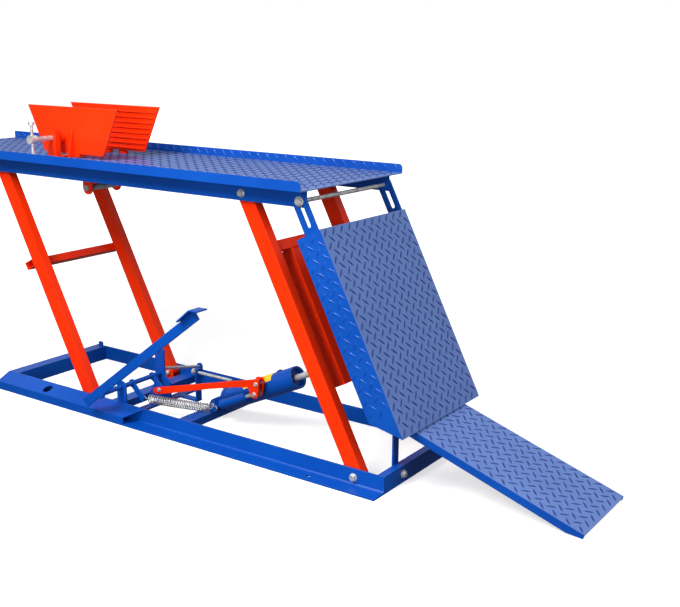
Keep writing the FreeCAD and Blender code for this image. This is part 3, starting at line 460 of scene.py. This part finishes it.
def circle(centre: Vector, u: Vector, v: Vector, radius: float, count: int,
           turn: float = 0.0) -> list[Vector]:
    """Points of a circle.

    Args:
        centre: Its centre.
        u: First direction in its plane.
        v: Second direction in its plane.
        radius: Its radius in metres.
        count: Number of points.
        turn: Turn of the first point in degrees.

    Returns:
        The points in order.
    """
    points = []
    for index in range(count):
        angle = math.radians(turn) + 2 * math.pi * index / count
        points.append(centre + radius * (math.cos(angle) * u + math.sin(angle) * v))
    return points


def frame_of(direction: Vector) -> tuple[Vector, Vector]:
    """Two directions square to a line and to each other.

    Args:
        direction: Direction of the line.

    Returns:
        The two directions.
    """
    steep = abs(direction.normalized().z) >= STEEP
    helper = Vector((1, 0, 0)) if steep else Vector((0, 0, 1))
    u = direction.cross(helper).normalized()
    return u, direction.cross(u).normalized()


def add_turned(mesh: bmesh.types.BMesh, start: Vector, axis: Vector, profile: Profile,
               count: int = 32, turn: float = 0.0) -> None:
    """Add a turned or many-sided solid along an axis.

    Args:
        mesh: The bmesh that takes it.
        start: Where the profile's distance is zero.
        axis: Direction of the axis.
        profile: Pairs of distance and radius in millimetres.
        count: Number of sides.
        turn: Turn of the first side in degrees.
    """
    along = axis.normalized()
    u, v = frame_of(along)
    add_loops(mesh, [circle(start + along * distance * MM, u, v, radius * MM, count, turn)
                     for distance, radius in profile])


def add_tube(mesh: bmesh.types.BMesh, path: Sequence[Vector], radius: float, count: int) -> None:
    """Add a round tube along a path without twist.

    Args:
        mesh: The bmesh that takes it.
        path: Points of the middle line in metres.
        radius: Radius in metres.
        count: Number of sides.
    """
    u, _ = frame_of(path[1] - path[0])
    loops = []
    for index, point in enumerate(path):
        before = path[max(index - 1, 0)]
        after = path[min(index + 1, len(path) - 1)]
        along = (after - before).normalized()
        u = (u - along * u.dot(along)).normalized()
        loops.append(circle(point, u, along.cross(u), radius, count))
    add_loops(mesh, loops)


# Tread plate

LUG_OUTLINE = ((1.0, 0.0), (0.55, 0.42), (0.0, 0.5), (-0.55, 0.42),
               (-1.0, 0.0), (-0.55, -0.42), (0.0, -0.5), (0.55, -0.42))


def slope(angle: float) -> tuple[Vector, Vector]:
    """The two directions of a plate that falls towards the ramp's end.

    Args:
        angle: Its fall in degrees.

    Returns:
        The direction down the plate and the one out of its upper face.
    """
    turn = math.radians(angle)
    return (Vector((math.cos(turn), 0, -math.sin(turn))),
            Vector((math.sin(turn), 0, math.cos(turn))))


@dataclass(frozen=True)
class TreadField:
    """A flat stretch of tread plate that carries rows of raised lugs."""

    origin: Vector
    along: Vector
    across: Vector
    length: float
    width: float
    period: float = 37.5 * MM
    lug_length: float = 31 * MM
    lug_width: float = 6.0 * MM
    lug_height: float = 1.5 * MM
    crown: float = 0.55
    margin: float = 1.0 * MM
    upright: float = 0.9
    # Slots of the lugs: the plain blue on the sides, the darker blue of painted shade elsewhere.
    plain_lug_slot: int = 0
    shaded_lug_slot: int = 1

    def add_lug(self, mesh: bmesh.types.BMesh, centre: Vector, lean: Lean, normal: Vector) -> None:
        """Add one pointed lug with a flat crown.

        Args:
            mesh: The bmesh that takes it.
            centre: Its centre on the plate.
            lean: Which way it leans.
            normal: The plate's outward normal.
        """
        # Lugs on the sides keep the plain blue; the others take the darker blue of painted shade.
        finish = self.plain_lug_slot if abs(normal.y) > self.upright else self.shaded_lug_slot
        turn = math.radians(lean.value)
        long = math.cos(turn) * self.along + math.sin(turn) * self.across
        wide = normal.cross(long)
        foot = [centre + long * x * self.lug_length / 2 + wide * y * self.lug_width
                for x, y in LUG_OUTLINE]
        crown = [centre + (point - centre) * self.crown + normal * self.lug_height
                 for point in foot]
        low = [mesh.verts.new(point) for point in foot]
        high = [mesh.verts.new(point) for point in crown]
        mesh.faces.new(high).material_index = finish
        for index in range(len(low)):
            after = (index + 1) % len(low)
            side = mesh.faces.new((low[index], low[after], high[after], high[index]))
            side.material_index = finish

    def add_to(self, mesh: bmesh.types.BMesh) -> int:
        """Add every lug that fits on the field.

        Args:
            mesh: The bmesh that takes the lugs.

        Returns:
            How many lugs were added.
        """
        normal = self.along.cross(self.across).normalized()
        half = self.period / 2
        reach = self.lug_length * 0.5 * math.cos(math.radians(Lean.LEFT.value)) + self.margin
        columns = int((self.length - 2 * reach) / half) + 1
        rows = int((self.width - 2 * reach) / half) + 1
        start_u = (self.length - (columns - 1) * half) / 2
        start_v = (self.width - (rows - 1) * half) / 2
        added = 0
        for column in range(columns):
            lean = Lean.LEFT if column % 2 else Lean.RIGHT
            for row in range(column % 2, rows, 2):
                u = start_u + column * half
                v = start_v + row * half
                self.add_lug(mesh, self.origin + self.along * u + self.across * v, lean, normal)
                added += 1
        return added


@dataclass
class TreadPlates:
    """The raised pattern on deck, drop ramp and load ramp."""

    palette: Palette
    lift: float = 0.05 * MM
    deck_top: float = 0.796
    deck_wall: float = 3 * MM
    drop_angle: float = 62.9
    drop_start: float = 0.090
    drop_out: float = 0.0307
    drop_half: float = 0.214
    drop_length: float = 0.588
    flange_depth: float = 0.084
    flange_gap: float = 0.068
    load_angle: float = 18.04
    load_top: Point = (0.739, 0, 0.1964)
    load_half: float = 0.1375
    load_length: float = 0.5945

    def face(self, origin: Vector, end: Vector, side: Vector) -> TreadField:
        """A field between an origin, the end of its first edge and the end of its second.

        Args:
            origin: First corner.
            end: Corner along the first edge.
            side: Corner along the second edge.

        Returns:
            The field, lifted off the plate by a hair.
        """
        along = (end - origin).normalized()
        across = (side - origin).normalized()
        normal = along.cross(across).normalized()
        return TreadField(origin + normal * self.lift, along, across, (end - origin).length,
                          (side - origin).length)

    def place(self, name: str, body: str, faces: Iterable[tuple[Vector, Vector, Vector]]) -> None:
        """Make one piece of all lugs on some faces and ride it.

        Args:
            name: Name of the piece.
            body: Body that it rides on.
            faces: Corner triples of the fields.
        """
        mesh = bmesh.new()
        count = 0
        for corners in faces:
            count += self.face(*corners).add_to(mesh)
        piece = new_piece(name, mesh, self.palette["blue_paint"])
        # Second slot: the lugs' darker blue of painted shade.
        piece.data.materials.append(self.palette["lug"])
        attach(piece, body)
        LOG.info("%s: %d lugs", name, count)

    def build(self) -> None:
        """Build the pattern of every plate."""
        self.deck()
        self.drop_ramp()
        self.load_ramp()

    def deck(self) -> None:
        """Lugs on the deck's top and on the inner faces of its lips; outside they are smooth."""
        low, high = (Vector(corner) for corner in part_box("deck_plate"))
        top = self.deck_top
        wall = self.deck_wall
        faces = [(Vector((low.x, low.y + wall, top)), Vector((high.x, low.y + wall, top)),
                  Vector((low.x, high.y - wall, top)))]
        for side in Side:
            inner = side.value * (high.y - wall)
            first, last = (low.x, high.x) if side is Side.NEAR else (high.x, low.x)
            faces.append((Vector((last, inner, top)), Vector((first, inner, top)),
                          Vector((last, inner, high.z))))
        self.place("deck_tread", "deck", faces)

    def drop_ramp(self) -> None:
        """Lugs on the drop ramp's plate and its side flanges."""
        down, out = slope(self.drop_angle)
        top = Vector(ROD) + down * self.drop_start + out * self.drop_out
        half = Vector((0, self.drop_half, 0))
        faces = [(top - half, top - half + down * self.drop_length, top + half)]
        depth = out * self.flange_depth
        run = down * (self.drop_length - self.flange_gap)
        for side in Side:
            corner = top + half * side.value - depth
            if side is Side.NEAR:
                faces.append((corner, corner + run, corner + depth))
            else:
                faces.append((corner + run, corner, corner + run + depth))
        self.place("drop_ramp_tread", "drop_ramp", faces)

    def load_ramp(self) -> None:
        """Lugs on the load ramp's plate."""
        down, _ = slope(self.load_angle)
        half = Vector((0, self.load_half, 0))
        corner = Vector(self.load_top) - half
        self.place("load_ramp_tread", "base",
                   [(corner, corner + down * self.load_length, corner + half * 2)])


# Bolts

HEX_SIDES = 6
SHANK_SIDES = 24
DISC_SIDES = 32
WASHER_SIDES = 40


@dataclass(frozen=True)
class HexBolt:
    """A hexagon bolt with washer, and a nut on its far end where it has one, in millimetres.

    The radii of the hexagons and of the crown are shares of the hexagon's corner radius.
    """

    head: float = 6.6
    across_flats: float = 17.0
    washer: float = 12.0
    washer_wall: float = 2.4
    shank: float = 5.0
    rim: float = 0.4
    rim_drop: float = 0.6
    foot: tuple[float, float] = (0.5, 0.97)
    chamfer: tuple[float, float] = (1.2, 0.87)
    crown: Profile = ((-0.1, 0.80), (0.25, 0.76))
    nut: Profile = ((0, 0.9), (1, 1), (6.4, 1), (7.6, 0.9))
    thread: Profile = ((7.4, 0), (9.5, 0), (10.2, -0.8))

    @property
    def corner(self) -> float:
        """Corner radius of the hexagon.

        Returns:
            The radius in millimetres.
        """
        return self.across_flats / math.sqrt(3)

    def add_head(self, mesh: bmesh.types.BMesh, seat: Vector, out: Vector, turn: float) -> None:
        """Add a washer and a chamfered head on a seat.

        Args:
            mesh: The bmesh that takes them.
            seat: Middle of the seat.
            out: Direction away from the seat.
            turn: Turn of the hexagon in degrees.
        """
        add_turned(mesh, seat, out, [(0, self.washer - self.rim), (self.rim, self.washer),
                                     (self.washer_wall - self.rim, self.washer),
                                     (self.washer_wall, self.washer - self.rim_drop)], WASHER_SIDES)
        base = seat + out.normalized() * self.washer_wall * MM
        rise, foot = self.foot
        fall, end = self.chamfer
        add_turned(mesh, base, out, [(0, self.corner * foot), (rise, self.corner),
                                     (self.head - fall, self.corner),
                                     (self.head, self.corner * end)], HEX_SIDES, turn)
        add_turned(mesh, base, out, [(self.head + over, self.corner * share)
                                     for over, share in self.crown], DISC_SIDES)

    def add_nut(self, mesh: bmesh.types.BMesh, seat: Vector, out: Vector, turn: float) -> None:
        """Add a nut on a seat with the bolt's end standing out of it.

        Args:
            mesh: The bmesh that takes them.
            seat: Middle of the seat.
            out: Direction away from the seat.
            turn: Turn of the hexagon in degrees.
        """
        add_turned(mesh, seat, out, [(place, self.corner * share) for place, share in self.nut],
                   HEX_SIDES, turn)
        add_turned(mesh, seat, out, [(place, self.shank + more) for place, more in self.thread],
                   SHANK_SIDES)

    def add_shank(self, mesh: bmesh.types.BMesh, start: Vector, end: Vector) -> None:
        """Add the plain shank between two points.

        Args:
            mesh: The bmesh that takes it.
            start: One end of it.
            end: The other end.
        """
        length = (end - start).length / MM
        add_turned(mesh, start, end - start, [(0, self.shank), (length, self.shank)], SHANK_SIDES)


@dataclass
class Fasteners:
    """Hexagon bolts and nuts in place of the plain round ones.

    A pin of the pump link is its place along the link and above it, the Y of its far end, and
    whether that end has a head; these are in millimetres, and so is the spacer's profile.
    """

    palette: Palette
    skirt: float = 205 * MM
    strap: float = 211.3 * MM
    nut_side: float = 164.4 * MM
    spacer_back: float = 10 * MM
    spacer: Profile = ((0.2, 11.5), (4.8, 11.5))
    post_seat: Point = (0.770, 0.107, 0.026)
    link_angle: float = 9.43
    link_fork: Point = (0.2209, 0, 0.1317)
    link_near: float = -75.5
    link_pins: tuple[tuple[float, float, float, bool], ...] = (
        (0, 0, -44, True), (12.4, 32.3, -44, True), (-405.4, 0, -69.5, False))
    bolt: HexBolt = HexBolt()
    rod_nut: HexBolt = HexBolt(head=7.2, across_flats=18, washer=14, shank=6.0)
    link_bolt: HexBolt = HexBolt(head=4.6, across_flats=11, washer=7.2, washer_wall=1.2, shank=4.0)

    def finish(self, name: str, body: str, mesh: bmesh.types.BMesh, *nodes: str) -> None:
        """Make the piece, ride it and let it stand for its nodes.

        Args:
            name: Name of the piece.
            body: Body that it rides on.
            mesh: Its shape.
            *nodes: The nodes that it replaces.
        """
        piece = new_piece(name, mesh, self.palette["zinc_steel"], smooth=30)
        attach(piece, body)
        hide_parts(*nodes)
        LOG.info("%s on %s", name, body)

    def build(self) -> None:
        """Build every bolt of the lift."""
        self.pivots("base_pivot_bolts_rear", "base", turn=11)
        self.pivots("base_pivot_bolts_front", "base", turn=37)
        self.pivots("deck_pivot_bolts_rear", "deck", turn=22)
        self.pivots("deck_pivot_bolts_front", "deck", turn=4)
        self.rod_nuts()
        self.post_bolts()
        self.link_bolts()

    def pivots(self, node: str, body: str, turn: float) -> None:
        """A pair of pivot bolts, one on each side.

        Args:
            node: The node that they replace.
            body: Body that they ride on.
            turn: Turn of the heads in degrees.
        """
        low, high = (Vector(corner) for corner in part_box(node))
        x = (low.x + high.x) / 2
        z = (low.z + high.z) / 2
        mesh = bmesh.new()
        for side in Side:
            out = Vector((0, side.value, 0))
            seat = Vector((x, side.value * self.skirt, z))
            inner = Vector((x, side.value * self.nut_side, z))
            self.bolt.add_head(mesh, seat, out, turn * side.value)
            self.bolt.add_shank(mesh, seat, inner)
            add_turned(mesh, seat - out * self.spacer_back, out, self.spacer, DISC_SIDES)
            self.bolt.add_nut(mesh, inner, -out, turn)
        self.finish(node + "_hex", body, mesh, node)

    def rod_nuts(self) -> None:
        """Washers and nuts on the ends of the hanging rod."""
        mesh = bmesh.new()
        x, _, z = ROD
        for side in Side:
            seat = Vector((x, side.value * self.strap, z))
            self.rod_nut.add_head(mesh, seat, Vector((0, side.value, 0)), turn=14)
        self.finish("hanging_rod_nuts_hex", "deck", mesh, "hanging_rod_nuts")

    def post_bolts(self) -> None:
        """Bolts that hold the ramp posts to the rear end beam."""
        mesh = bmesh.new()
        x, y, z = self.post_seat
        for side in Side:
            seat = Vector((x, side.value * y, z))
            self.bolt.add_head(mesh, seat, Vector((1, 0, 0)), turn=20 * side.value)
        self.finish("ramp_post_bolts_hex", "base", mesh, "ramp_post_bolts")

    def link_bolts(self) -> None:
        """The two bolts of the pump link's fork and the one at the far end of its bar."""
        mesh = bmesh.new()
        angle = math.radians(self.link_angle)
        fork = Vector(self.link_fork)
        for along, up, far_side, headed in self.link_pins:
            x = fork.x + (along * math.cos(angle) - up * math.sin(angle)) * MM
            z = fork.z + (along * math.sin(angle) + up * math.cos(angle)) * MM
            near = Vector((x, self.link_near * MM, z))
            far = Vector((x, far_side * MM, z))
            self.link_bolt.add_head(mesh, near, Vector((0, -1, 0)), turn=8 + up)
            self.link_bolt.add_shank(mesh, near, far)
            if headed:
                self.link_bolt.add_head(mesh, far, Vector((0, 1, 0)), turn=25)
        self.finish("pump_link_bolts_hex", "pump_link", mesh, "pump_link_bolts")


# Welds


@dataclass(frozen=True)
class Welds:
    """Weld beads where the frames' pieces meet, and the rails' rounded roots, in millimetres.

    A member of the base is the X of both its edges and its height, one of the deck the X of its
    first edge.
    """

    palette: Palette
    bead: float = 2.2
    ripple: float = 0.45
    pitch: float = 2.6
    sides: int = 8
    fewest: int = 4
    web: float = 205.0
    foot: float = 5.0
    rail_end: float = 769.0
    root: float = 6.0
    root_steps: int = 6
    rail_inside: float = 200
    members: tuple[Point, ...] = ((-319, -270, 25), (-20, 30, 25), (-231, -201, 6))
    beams: tuple[float, float] = (765, -730)
    beam_span: tuple[float, float] = (3, 44)
    jack_lugs: tuple[float, float] = (-36.3, 36.3)
    jack_span: tuple[float, float] = (5, 29)
    jack_height: float = 25
    brackets: Point = (-195, -27, -21)
    bracket_span: tuple[float, float] = (-230, -203)
    bracket_height: float = 6
    arm_angle: float = 62.7
    pivot_height: float = 25.0
    pivots: tuple[float, float] = (672.0, -370.0)
    arm_inside: float = 164.7
    channel: tuple[float, float] = (650, 680)
    channel_half: float = 15
    channel_reach: float = 105
    bar: tuple[float, float] = (480.5, 505.5)
    bar_span: tuple[float, float] = (166, 193.5)
    bar_under: float = -24
    skirt: float = 205
    stitches: int = 9
    stitch_start: float = -1180
    stitch_pitch: float = 204
    stitch_half: float = 22
    stitch_height: float = 793
    deck_inside: float = 201
    deck_height: float = 763
    deck_members: tuple[float, ...] = (-1162.6, -828.2, -476.2, -97.8, 175.0)
    deck_member: float = 40

    def add_bead(self, mesh: bmesh.types.BMesh, start: Point, end: Point) -> None:
        """Add one bead with a ripple along its length and tapered ends.

        Args:
            mesh: The bmesh that takes it.
            start: First end in millimetres.
            end: Last end in millimetres.
        """
        first, last = Vector(start) * MM, Vector(end) * MM
        run = last - first
        u, v = frame_of(run.normalized())
        count = max(int(run.length / (self.pitch * MM)) * 2, self.fewest)
        loops = []
        for index in range(count + 1):
            share = index / count
            radius = self.bead + (self.ripple if index % 2 else -self.ripple)
            if index in (0, count):
                radius = self.bead / 2
            loops.append(circle(first + run * share, u, v, radius * MM, self.sides))
        add_loops(mesh, loops)

    def on_arm(self, pivot: float, along: float, side: float, over: float) -> Point:
        """Place a point of an arm's own frame.

        Args:
            pivot: X of the arm's base pivot.
            along: Way up the arm from the pivot.
            side: Y of the point.
            over: Way out from the arm's middle line, towards the ramp's end.

        Returns:
            The point in millimetres.
        """
        turn = math.radians(self.arm_angle)
        return (pivot - along * math.cos(turn) + over * math.sin(turn), side,
                self.pivot_height + along * math.sin(turn) + over * math.cos(turn))

    def finish(self, name: str, body: str, mesh: bmesh.types.BMesh, slot: str) -> None:
        """Make one piece of a mesh, ride it on its body and report it.

        Args:
            name: Name of the piece.
            body: Body that it rides on.
            mesh: Its shape.
            slot: Slot of its paint.
        """
        piece = new_piece(name, mesh, self.palette[slot])
        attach(piece, body)
        LOG.info("%s: %d faces", name, len(piece.data.polygons))

    def build(self) -> None:
        """Build every bead and both roots."""
        self.base()
        self.roots()
        self.arms()
        self.deck()

    def base(self) -> None:
        """Beads of the cross-members, the end beams, the jack's lugs and the pedal's brackets."""
        mesh = bmesh.new()
        for front, rear, up in self.members:
            for side in Side:
                y = side.value * self.rail_inside
                self.add_bead(mesh, (front, y, up), (rear, y, up))
        low, high = self.beam_span
        for place in self.beams:
            for side in Side:
                y = side.value * self.rail_inside
                self.add_bead(mesh, (place, y, low), (place, y, high))
        for sides, (front, rear), up in ((self.jack_lugs, self.jack_span, self.jack_height),
                                         (self.brackets, self.bracket_span, self.bracket_height)):
            for y in sides:
                self.add_bead(mesh, (front, y, up), (rear, y, up))
        self.finish("weld_base", "base", mesh, "blue_paint")

    def roots(self) -> None:
        """The rounded roots between each rail's web and its foot flange."""
        mesh = bmesh.new()
        outline = [(self.web, self.foot)]
        for step in range(self.root_steps + 1):
            turn = math.radians(90) * step / self.root_steps
            outline.append((self.web + self.root * (1 - math.sin(turn)),
                            self.foot + self.root * (1 - math.cos(turn))))
        for side in Side:
            add_loops(mesh, [[Vector((x, side.value * y, z)) * MM for y, z in outline]
                             for x in (-self.rail_end, self.rail_end)])
        self.finish("rail_roots", "base", mesh, "blue_paint")

    def arms(self) -> None:
        """Beads between the arms and their cross pieces."""
        rear, front = self.pivots
        mesh = bmesh.new()
        low, high = self.channel
        half = self.channel_half
        corners = [(low, -half), (low, half), (high, half), (high, -half)]
        for side in Side:
            y = side.value * self.arm_inside
            for first, last in zip(corners, corners[1:] + corners[:1]):
                self.add_bead(mesh, self.on_arm(rear, first[0], y, first[1]),
                              self.on_arm(rear, last[0], y, last[1]))
        self.add_bead(mesh, self.on_arm(rear, low, -self.channel_reach, half),
                      self.on_arm(rear, low, self.channel_reach, half))
        self.finish("weld_rear_arms", "rear_arms", mesh, "red_paint")
        mesh = bmesh.new()
        inner, outer = self.bar_span
        for along in self.bar:
            for side in Side:
                self.add_bead(mesh, self.on_arm(front, along, side.value * inner, self.bar_under),
                              self.on_arm(front, along, side.value * outer, self.bar_under))
        self.finish("weld_front_arms", "front_arms", mesh, "red_paint")

    def deck(self) -> None:
        """Short beads under the deck along both skirts and round the cross-members' ends."""
        mesh = bmesh.new()
        for index in range(self.stitches):
            middle = self.stitch_start + index * self.stitch_pitch
            for side in Side:
                y = side.value * self.skirt
                self.add_bead(mesh, (middle - self.stitch_half, y, self.stitch_height),
                              (middle + self.stitch_half, y, self.stitch_height))
        for front in self.deck_members:
            for side in Side:
                y = side.value * self.deck_inside
                self.add_bead(mesh, (front, y, self.deck_height),
                              (front + self.deck_member, y, self.deck_height))
        self.finish("weld_deck", "deck", mesh, "blue_paint")


# Spring


@dataclass
class ReturnSpring:
    """The pedal's return spring: close coils between two hooked eyes.

    The coils open from the taper's share of their radius, by the taper's rate for each turn.
    """

    palette: Palette
    near_eye: Vector = field(default_factory=lambda: Vector((-178.06, -147, 59.1)) * MM)
    far_eye: Vector = field(default_factory=lambda: Vector((46, -56, 44)) * MM)
    coil: float = 13 * MM
    wire: float = 1.75 * MM
    wire_sides: int = 8
    turns: int = 27
    coil_length: float = 208 * MM
    steps: int = 20
    taper: tuple[float, float] = (0.25, 1.5)
    eye: float = 6.5 * MM
    eye_steps: int = 14
    eye_start: float = -150
    eye_sweep: float = 300
    sag: float = 2.5 * MM

    def path(self) -> list[Vector]:
        """The wire's middle line: an eye, the coils and the other eye.

        Returns:
            Points in metres.
        """
        run = self.far_eye - self.near_eye
        along = run.normalized()
        side = Vector((0, 1, 0)).cross(along).normalized()
        up = along.cross(side)
        start = (run.length - self.coil_length) / 2
        least, rate = self.taper
        total = self.turns * self.steps
        points = self.eye_arc(self.near_eye, -along, side)
        for step in range(total + 1):
            angle = 2 * math.pi * step / self.steps
            reach = self.coil * min(1.0, least + rate * min(step, total - step) / self.steps)
            place = (start + self.coil_length * step / total) / run.length
            hang = Vector((0, 0, 4 * self.sag * place * (1 - place)))
            centre = self.near_eye + run * place - hang
            points.append(centre + reach * (math.cos(angle) * side + math.sin(angle) * up))
        points.extend(reversed(self.eye_arc(self.far_eye, along, side)))
        return points

    def eye_arc(self, pin: Vector, away: Vector, side: Vector) -> list[Vector]:
        """Most of a ring round a pin along Y, from its open end to the coils.

        Args:
            pin: Middle of the pin.
            away: Direction from the coils to the pin.
            side: Direction square to it, in the ring's plane.

        Returns:
            Points in metres.
        """
        points = []
        flat = Vector((away.x, 0, away.z)).normalized()
        cross = Vector((side.x, 0, side.z)).normalized()
        for step in range(self.eye_steps + 1):
            angle = math.radians(self.eye_start + self.eye_sweep * step / self.eye_steps)
            points.append(pin + self.eye * (math.cos(angle) * flat - math.sin(angle) * cross))
        return points

    def build(self) -> None:
        """Build the spring across the pedal's joint."""
        mesh = bmesh.new()
        add_tube(mesh, self.path(), self.wire, self.wire_sides)
        piece = new_piece("return_spring_wire", mesh, self.palette["spring_steel"], smooth=50)
        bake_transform(piece)
        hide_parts("return_spring")
        LOG.info("return spring: %d turns", self.turns)


# Stage


@dataclass(frozen=True)
class Lamp:
    """A square soft light."""

    name: str
    place: Point
    size: float
    power: float


@dataclass
class Studio:
    """Pale floor, soft lights and the camera of the photograph."""

    place: Point = (2.1146, -2.3716, 1.1747)
    yaw: float = 34.561
    pitch: float = 14.300
    roll: float = 0.546
    lens: float = 54.76
    sensor: float = 36
    farthest: float = 100
    reach: float = 14.0
    segments: int = 96
    dome_rings: int = 32
    floor_gap: float = 0.3 * MM
    floor_colour: Rgb = (0.66, 0.66, 0.67)
    floor_roughness: float = 0.8
    floor_specular: float = 0.1
    glow_span: tuple[float, float] = (1.4, 4.0)
    glow_strength: tuple[float, float] = (0.60, 1.0)
    sky: float = 0.5
    ground: float = 0.17
    horizon: float = 0.12
    aim: Point = (0.1, 0, 0.45)
    lamps: tuple[Lamp, ...] = (Lamp("key", (-0.27, -2.08, 2.8), 1.4, 122),
                               Lamp("fill", (3.0, -0.5, 2.2), 2.0, 50),
                               Lamp("low", (0.9, -2.6, 0.55), 1.6, 34))

    def build(self) -> None:
        """Build floor, world, lights and camera."""
        self.floor()
        self.world()
        self.lights()
        self.camera()

    def floor(self) -> None:
        """A wide pale floor just under the lift, and a white dome that only the camera sees."""
        near, far = self.glow_strength
        pale = Nodes("pale_floor")
        pale.shader.inputs["Base Color"].default_value = (*self.floor_colour, 1)
        pale.shader.inputs["Roughness"].default_value = self.floor_roughness
        pale.shader.inputs["Specular IOR Level"].default_value = self.floor_specular
        self.glow(pale, near)
        spot = pale.add("ShaderNodeTexCoord")
        reach = pale.add("ShaderNodeVectorMath", operation="LENGTH")
        shine = pale.add("ShaderNodeMapRange", From_Min=self.glow_span[0],
                         From_Max=self.glow_span[1], To_Min=near, To_Max=far)
        pale.link(spot, "Object", reach, 0)
        pale.link(reach, "Value", shine, 0)
        pale.link(shine, 0, pale.shader, "Emission Strength")
        mesh = bmesh.new()
        bmesh.ops.create_circle(mesh, cap_ends=True, segments=self.segments, radius=self.reach)
        floor = new_piece("floor", mesh, pale.material)
        floor.location.z = -self.floor_gap
        white = Nodes("white_dome")
        white.shader.inputs["Base Color"].default_value = (0, 0, 0, 1)
        self.glow(white, far)
        mesh = bmesh.new()
        bmesh.ops.create_uvsphere(mesh, u_segments=self.segments, v_segments=self.dome_rings,
                                  radius=self.reach)
        bmesh.ops.bisect_plane(mesh, geom=[*mesh.verts, *mesh.edges, *mesh.faces],
                               plane_co=(0, 0, 0), plane_no=(0, 0, -1), clear_outer=True)
        dome = new_piece("dome", mesh, white.material)
        dome.visible_shadow = False
        for thing in (floor, dome):
            thing.visible_diffuse = False
            thing.visible_glossy = False

    def glow(self, nodes: Nodes, strength: float) -> None:
        """Let a stage finish shine white.

        Args:
            nodes: The finish.
            strength: How bright it shines.
        """
        nodes.shader.inputs["Emission Color"].default_value = (1, 1, 1, 1)
        nodes.shader.inputs["Emission Strength"].default_value = strength

    def world(self) -> None:
        """Surroundings that are pale above and dark below."""
        world = bpy.data.worlds.new("studio")
        world.use_nodes = True
        tree = world.node_tree
        place = tree.nodes.new("ShaderNodeTexCoord")
        parts = tree.nodes.new("ShaderNodeSeparateXYZ")
        ramp = tree.nodes.new("ShaderNodeValToRGB")
        back = tree.nodes["Background"]
        tree.links.new(place.outputs["Generated"], parts.inputs[0])
        tree.links.new(parts.outputs["Z"], ramp.inputs[0])
        tree.links.new(ramp.outputs[0], back.inputs["Color"])
        dark, pale = ramp.color_ramp.elements
        dark.position = 0.0
        dark.color = (self.ground, self.ground, self.ground, 1)
        pale.position = self.horizon
        pale.color = (1, 1, 1, 1)
        back.inputs["Strength"].default_value = self.sky
        bpy.context.scene.world = world
        bpy.context.scene.view_settings.view_transform = "Standard"

    def lights(self) -> None:
        """A soft key from the near side, a wide fill from the ramp's end and a low one."""
        for lamp in self.lamps:
            data = bpy.data.lights.new(lamp.name, "AREA")
            data.size = lamp.size
            data.energy = lamp.power
            thing = bpy.data.objects.new(lamp.name, data)
            thing.location = lamp.place
            look = Vector(self.aim) - Vector(lamp.place)
            thing.rotation_euler = look.to_track_quat("-Z", "Y").to_euler()
            bpy.context.collection.objects.link(thing)

    def camera(self) -> None:
        """The camera that the photograph was solved for."""
        yaw, pitch, roll = (math.radians(angle) for angle in (self.yaw, self.pitch, self.roll))
        ahead = Vector((-math.sin(yaw) * math.cos(pitch), math.cos(yaw) * math.cos(pitch),
                        -math.sin(pitch)))
        right = Vector((math.cos(yaw), math.sin(yaw), 0))
        up = right.cross(ahead)
        right, up = (math.cos(roll) * right + math.sin(roll) * up,
                     math.cos(roll) * up - math.sin(roll) * right)
        data = bpy.data.cameras.new("camera")
        data.lens = self.lens
        data.sensor_width = self.sensor
        data.clip_end = self.farthest
        camera = bpy.data.objects.new("camera", data)
        turn = Matrix((right, up, -ahead)).transposed().to_4x4()
        camera.matrix_world = Matrix.Translation(self.place) @ turn
        bpy.context.collection.objects.link(camera)
        bpy.context.scene.camera = camera


@dataclass
class Lift:
    """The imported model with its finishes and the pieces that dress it."""

    palette: Palette
    tread_nodes: tuple[str, ...] = ("deck_plate", "drop_ramp_plate", "load_ramp")

    def dress(self, frame: dict) -> None:
        """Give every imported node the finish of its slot.
        """
        slots = {entry["node"]: entry["material_slot"] for entry in frame["record"]["subparts"]}
        for name, node in frame["nodes"].items():
            finish = self.palette["tread" if name in self.tread_nodes else slots[name]]
            for slot in node.material_slots:
                slot.material = finish
            if not node.material_slots:
                node.data.materials.append(finish)
            LOG.info("%s dressed in %s", name, finish.name)


def main() -> None:
    """Dress the lift, build its pieces and set the stage."""
    logging.basicConfig(level=logging.INFO, format="%(name)s %(message)s")
    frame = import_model()
    palette = Palette()
    palette.build()
    Lift(palette).dress(frame)
    for part in (TreadPlates(palette), Fasteners(palette), Welds(palette), ReturnSpring(palette)):
        part.build()
    Studio().build()


if __name__ == "__main__":
    main()
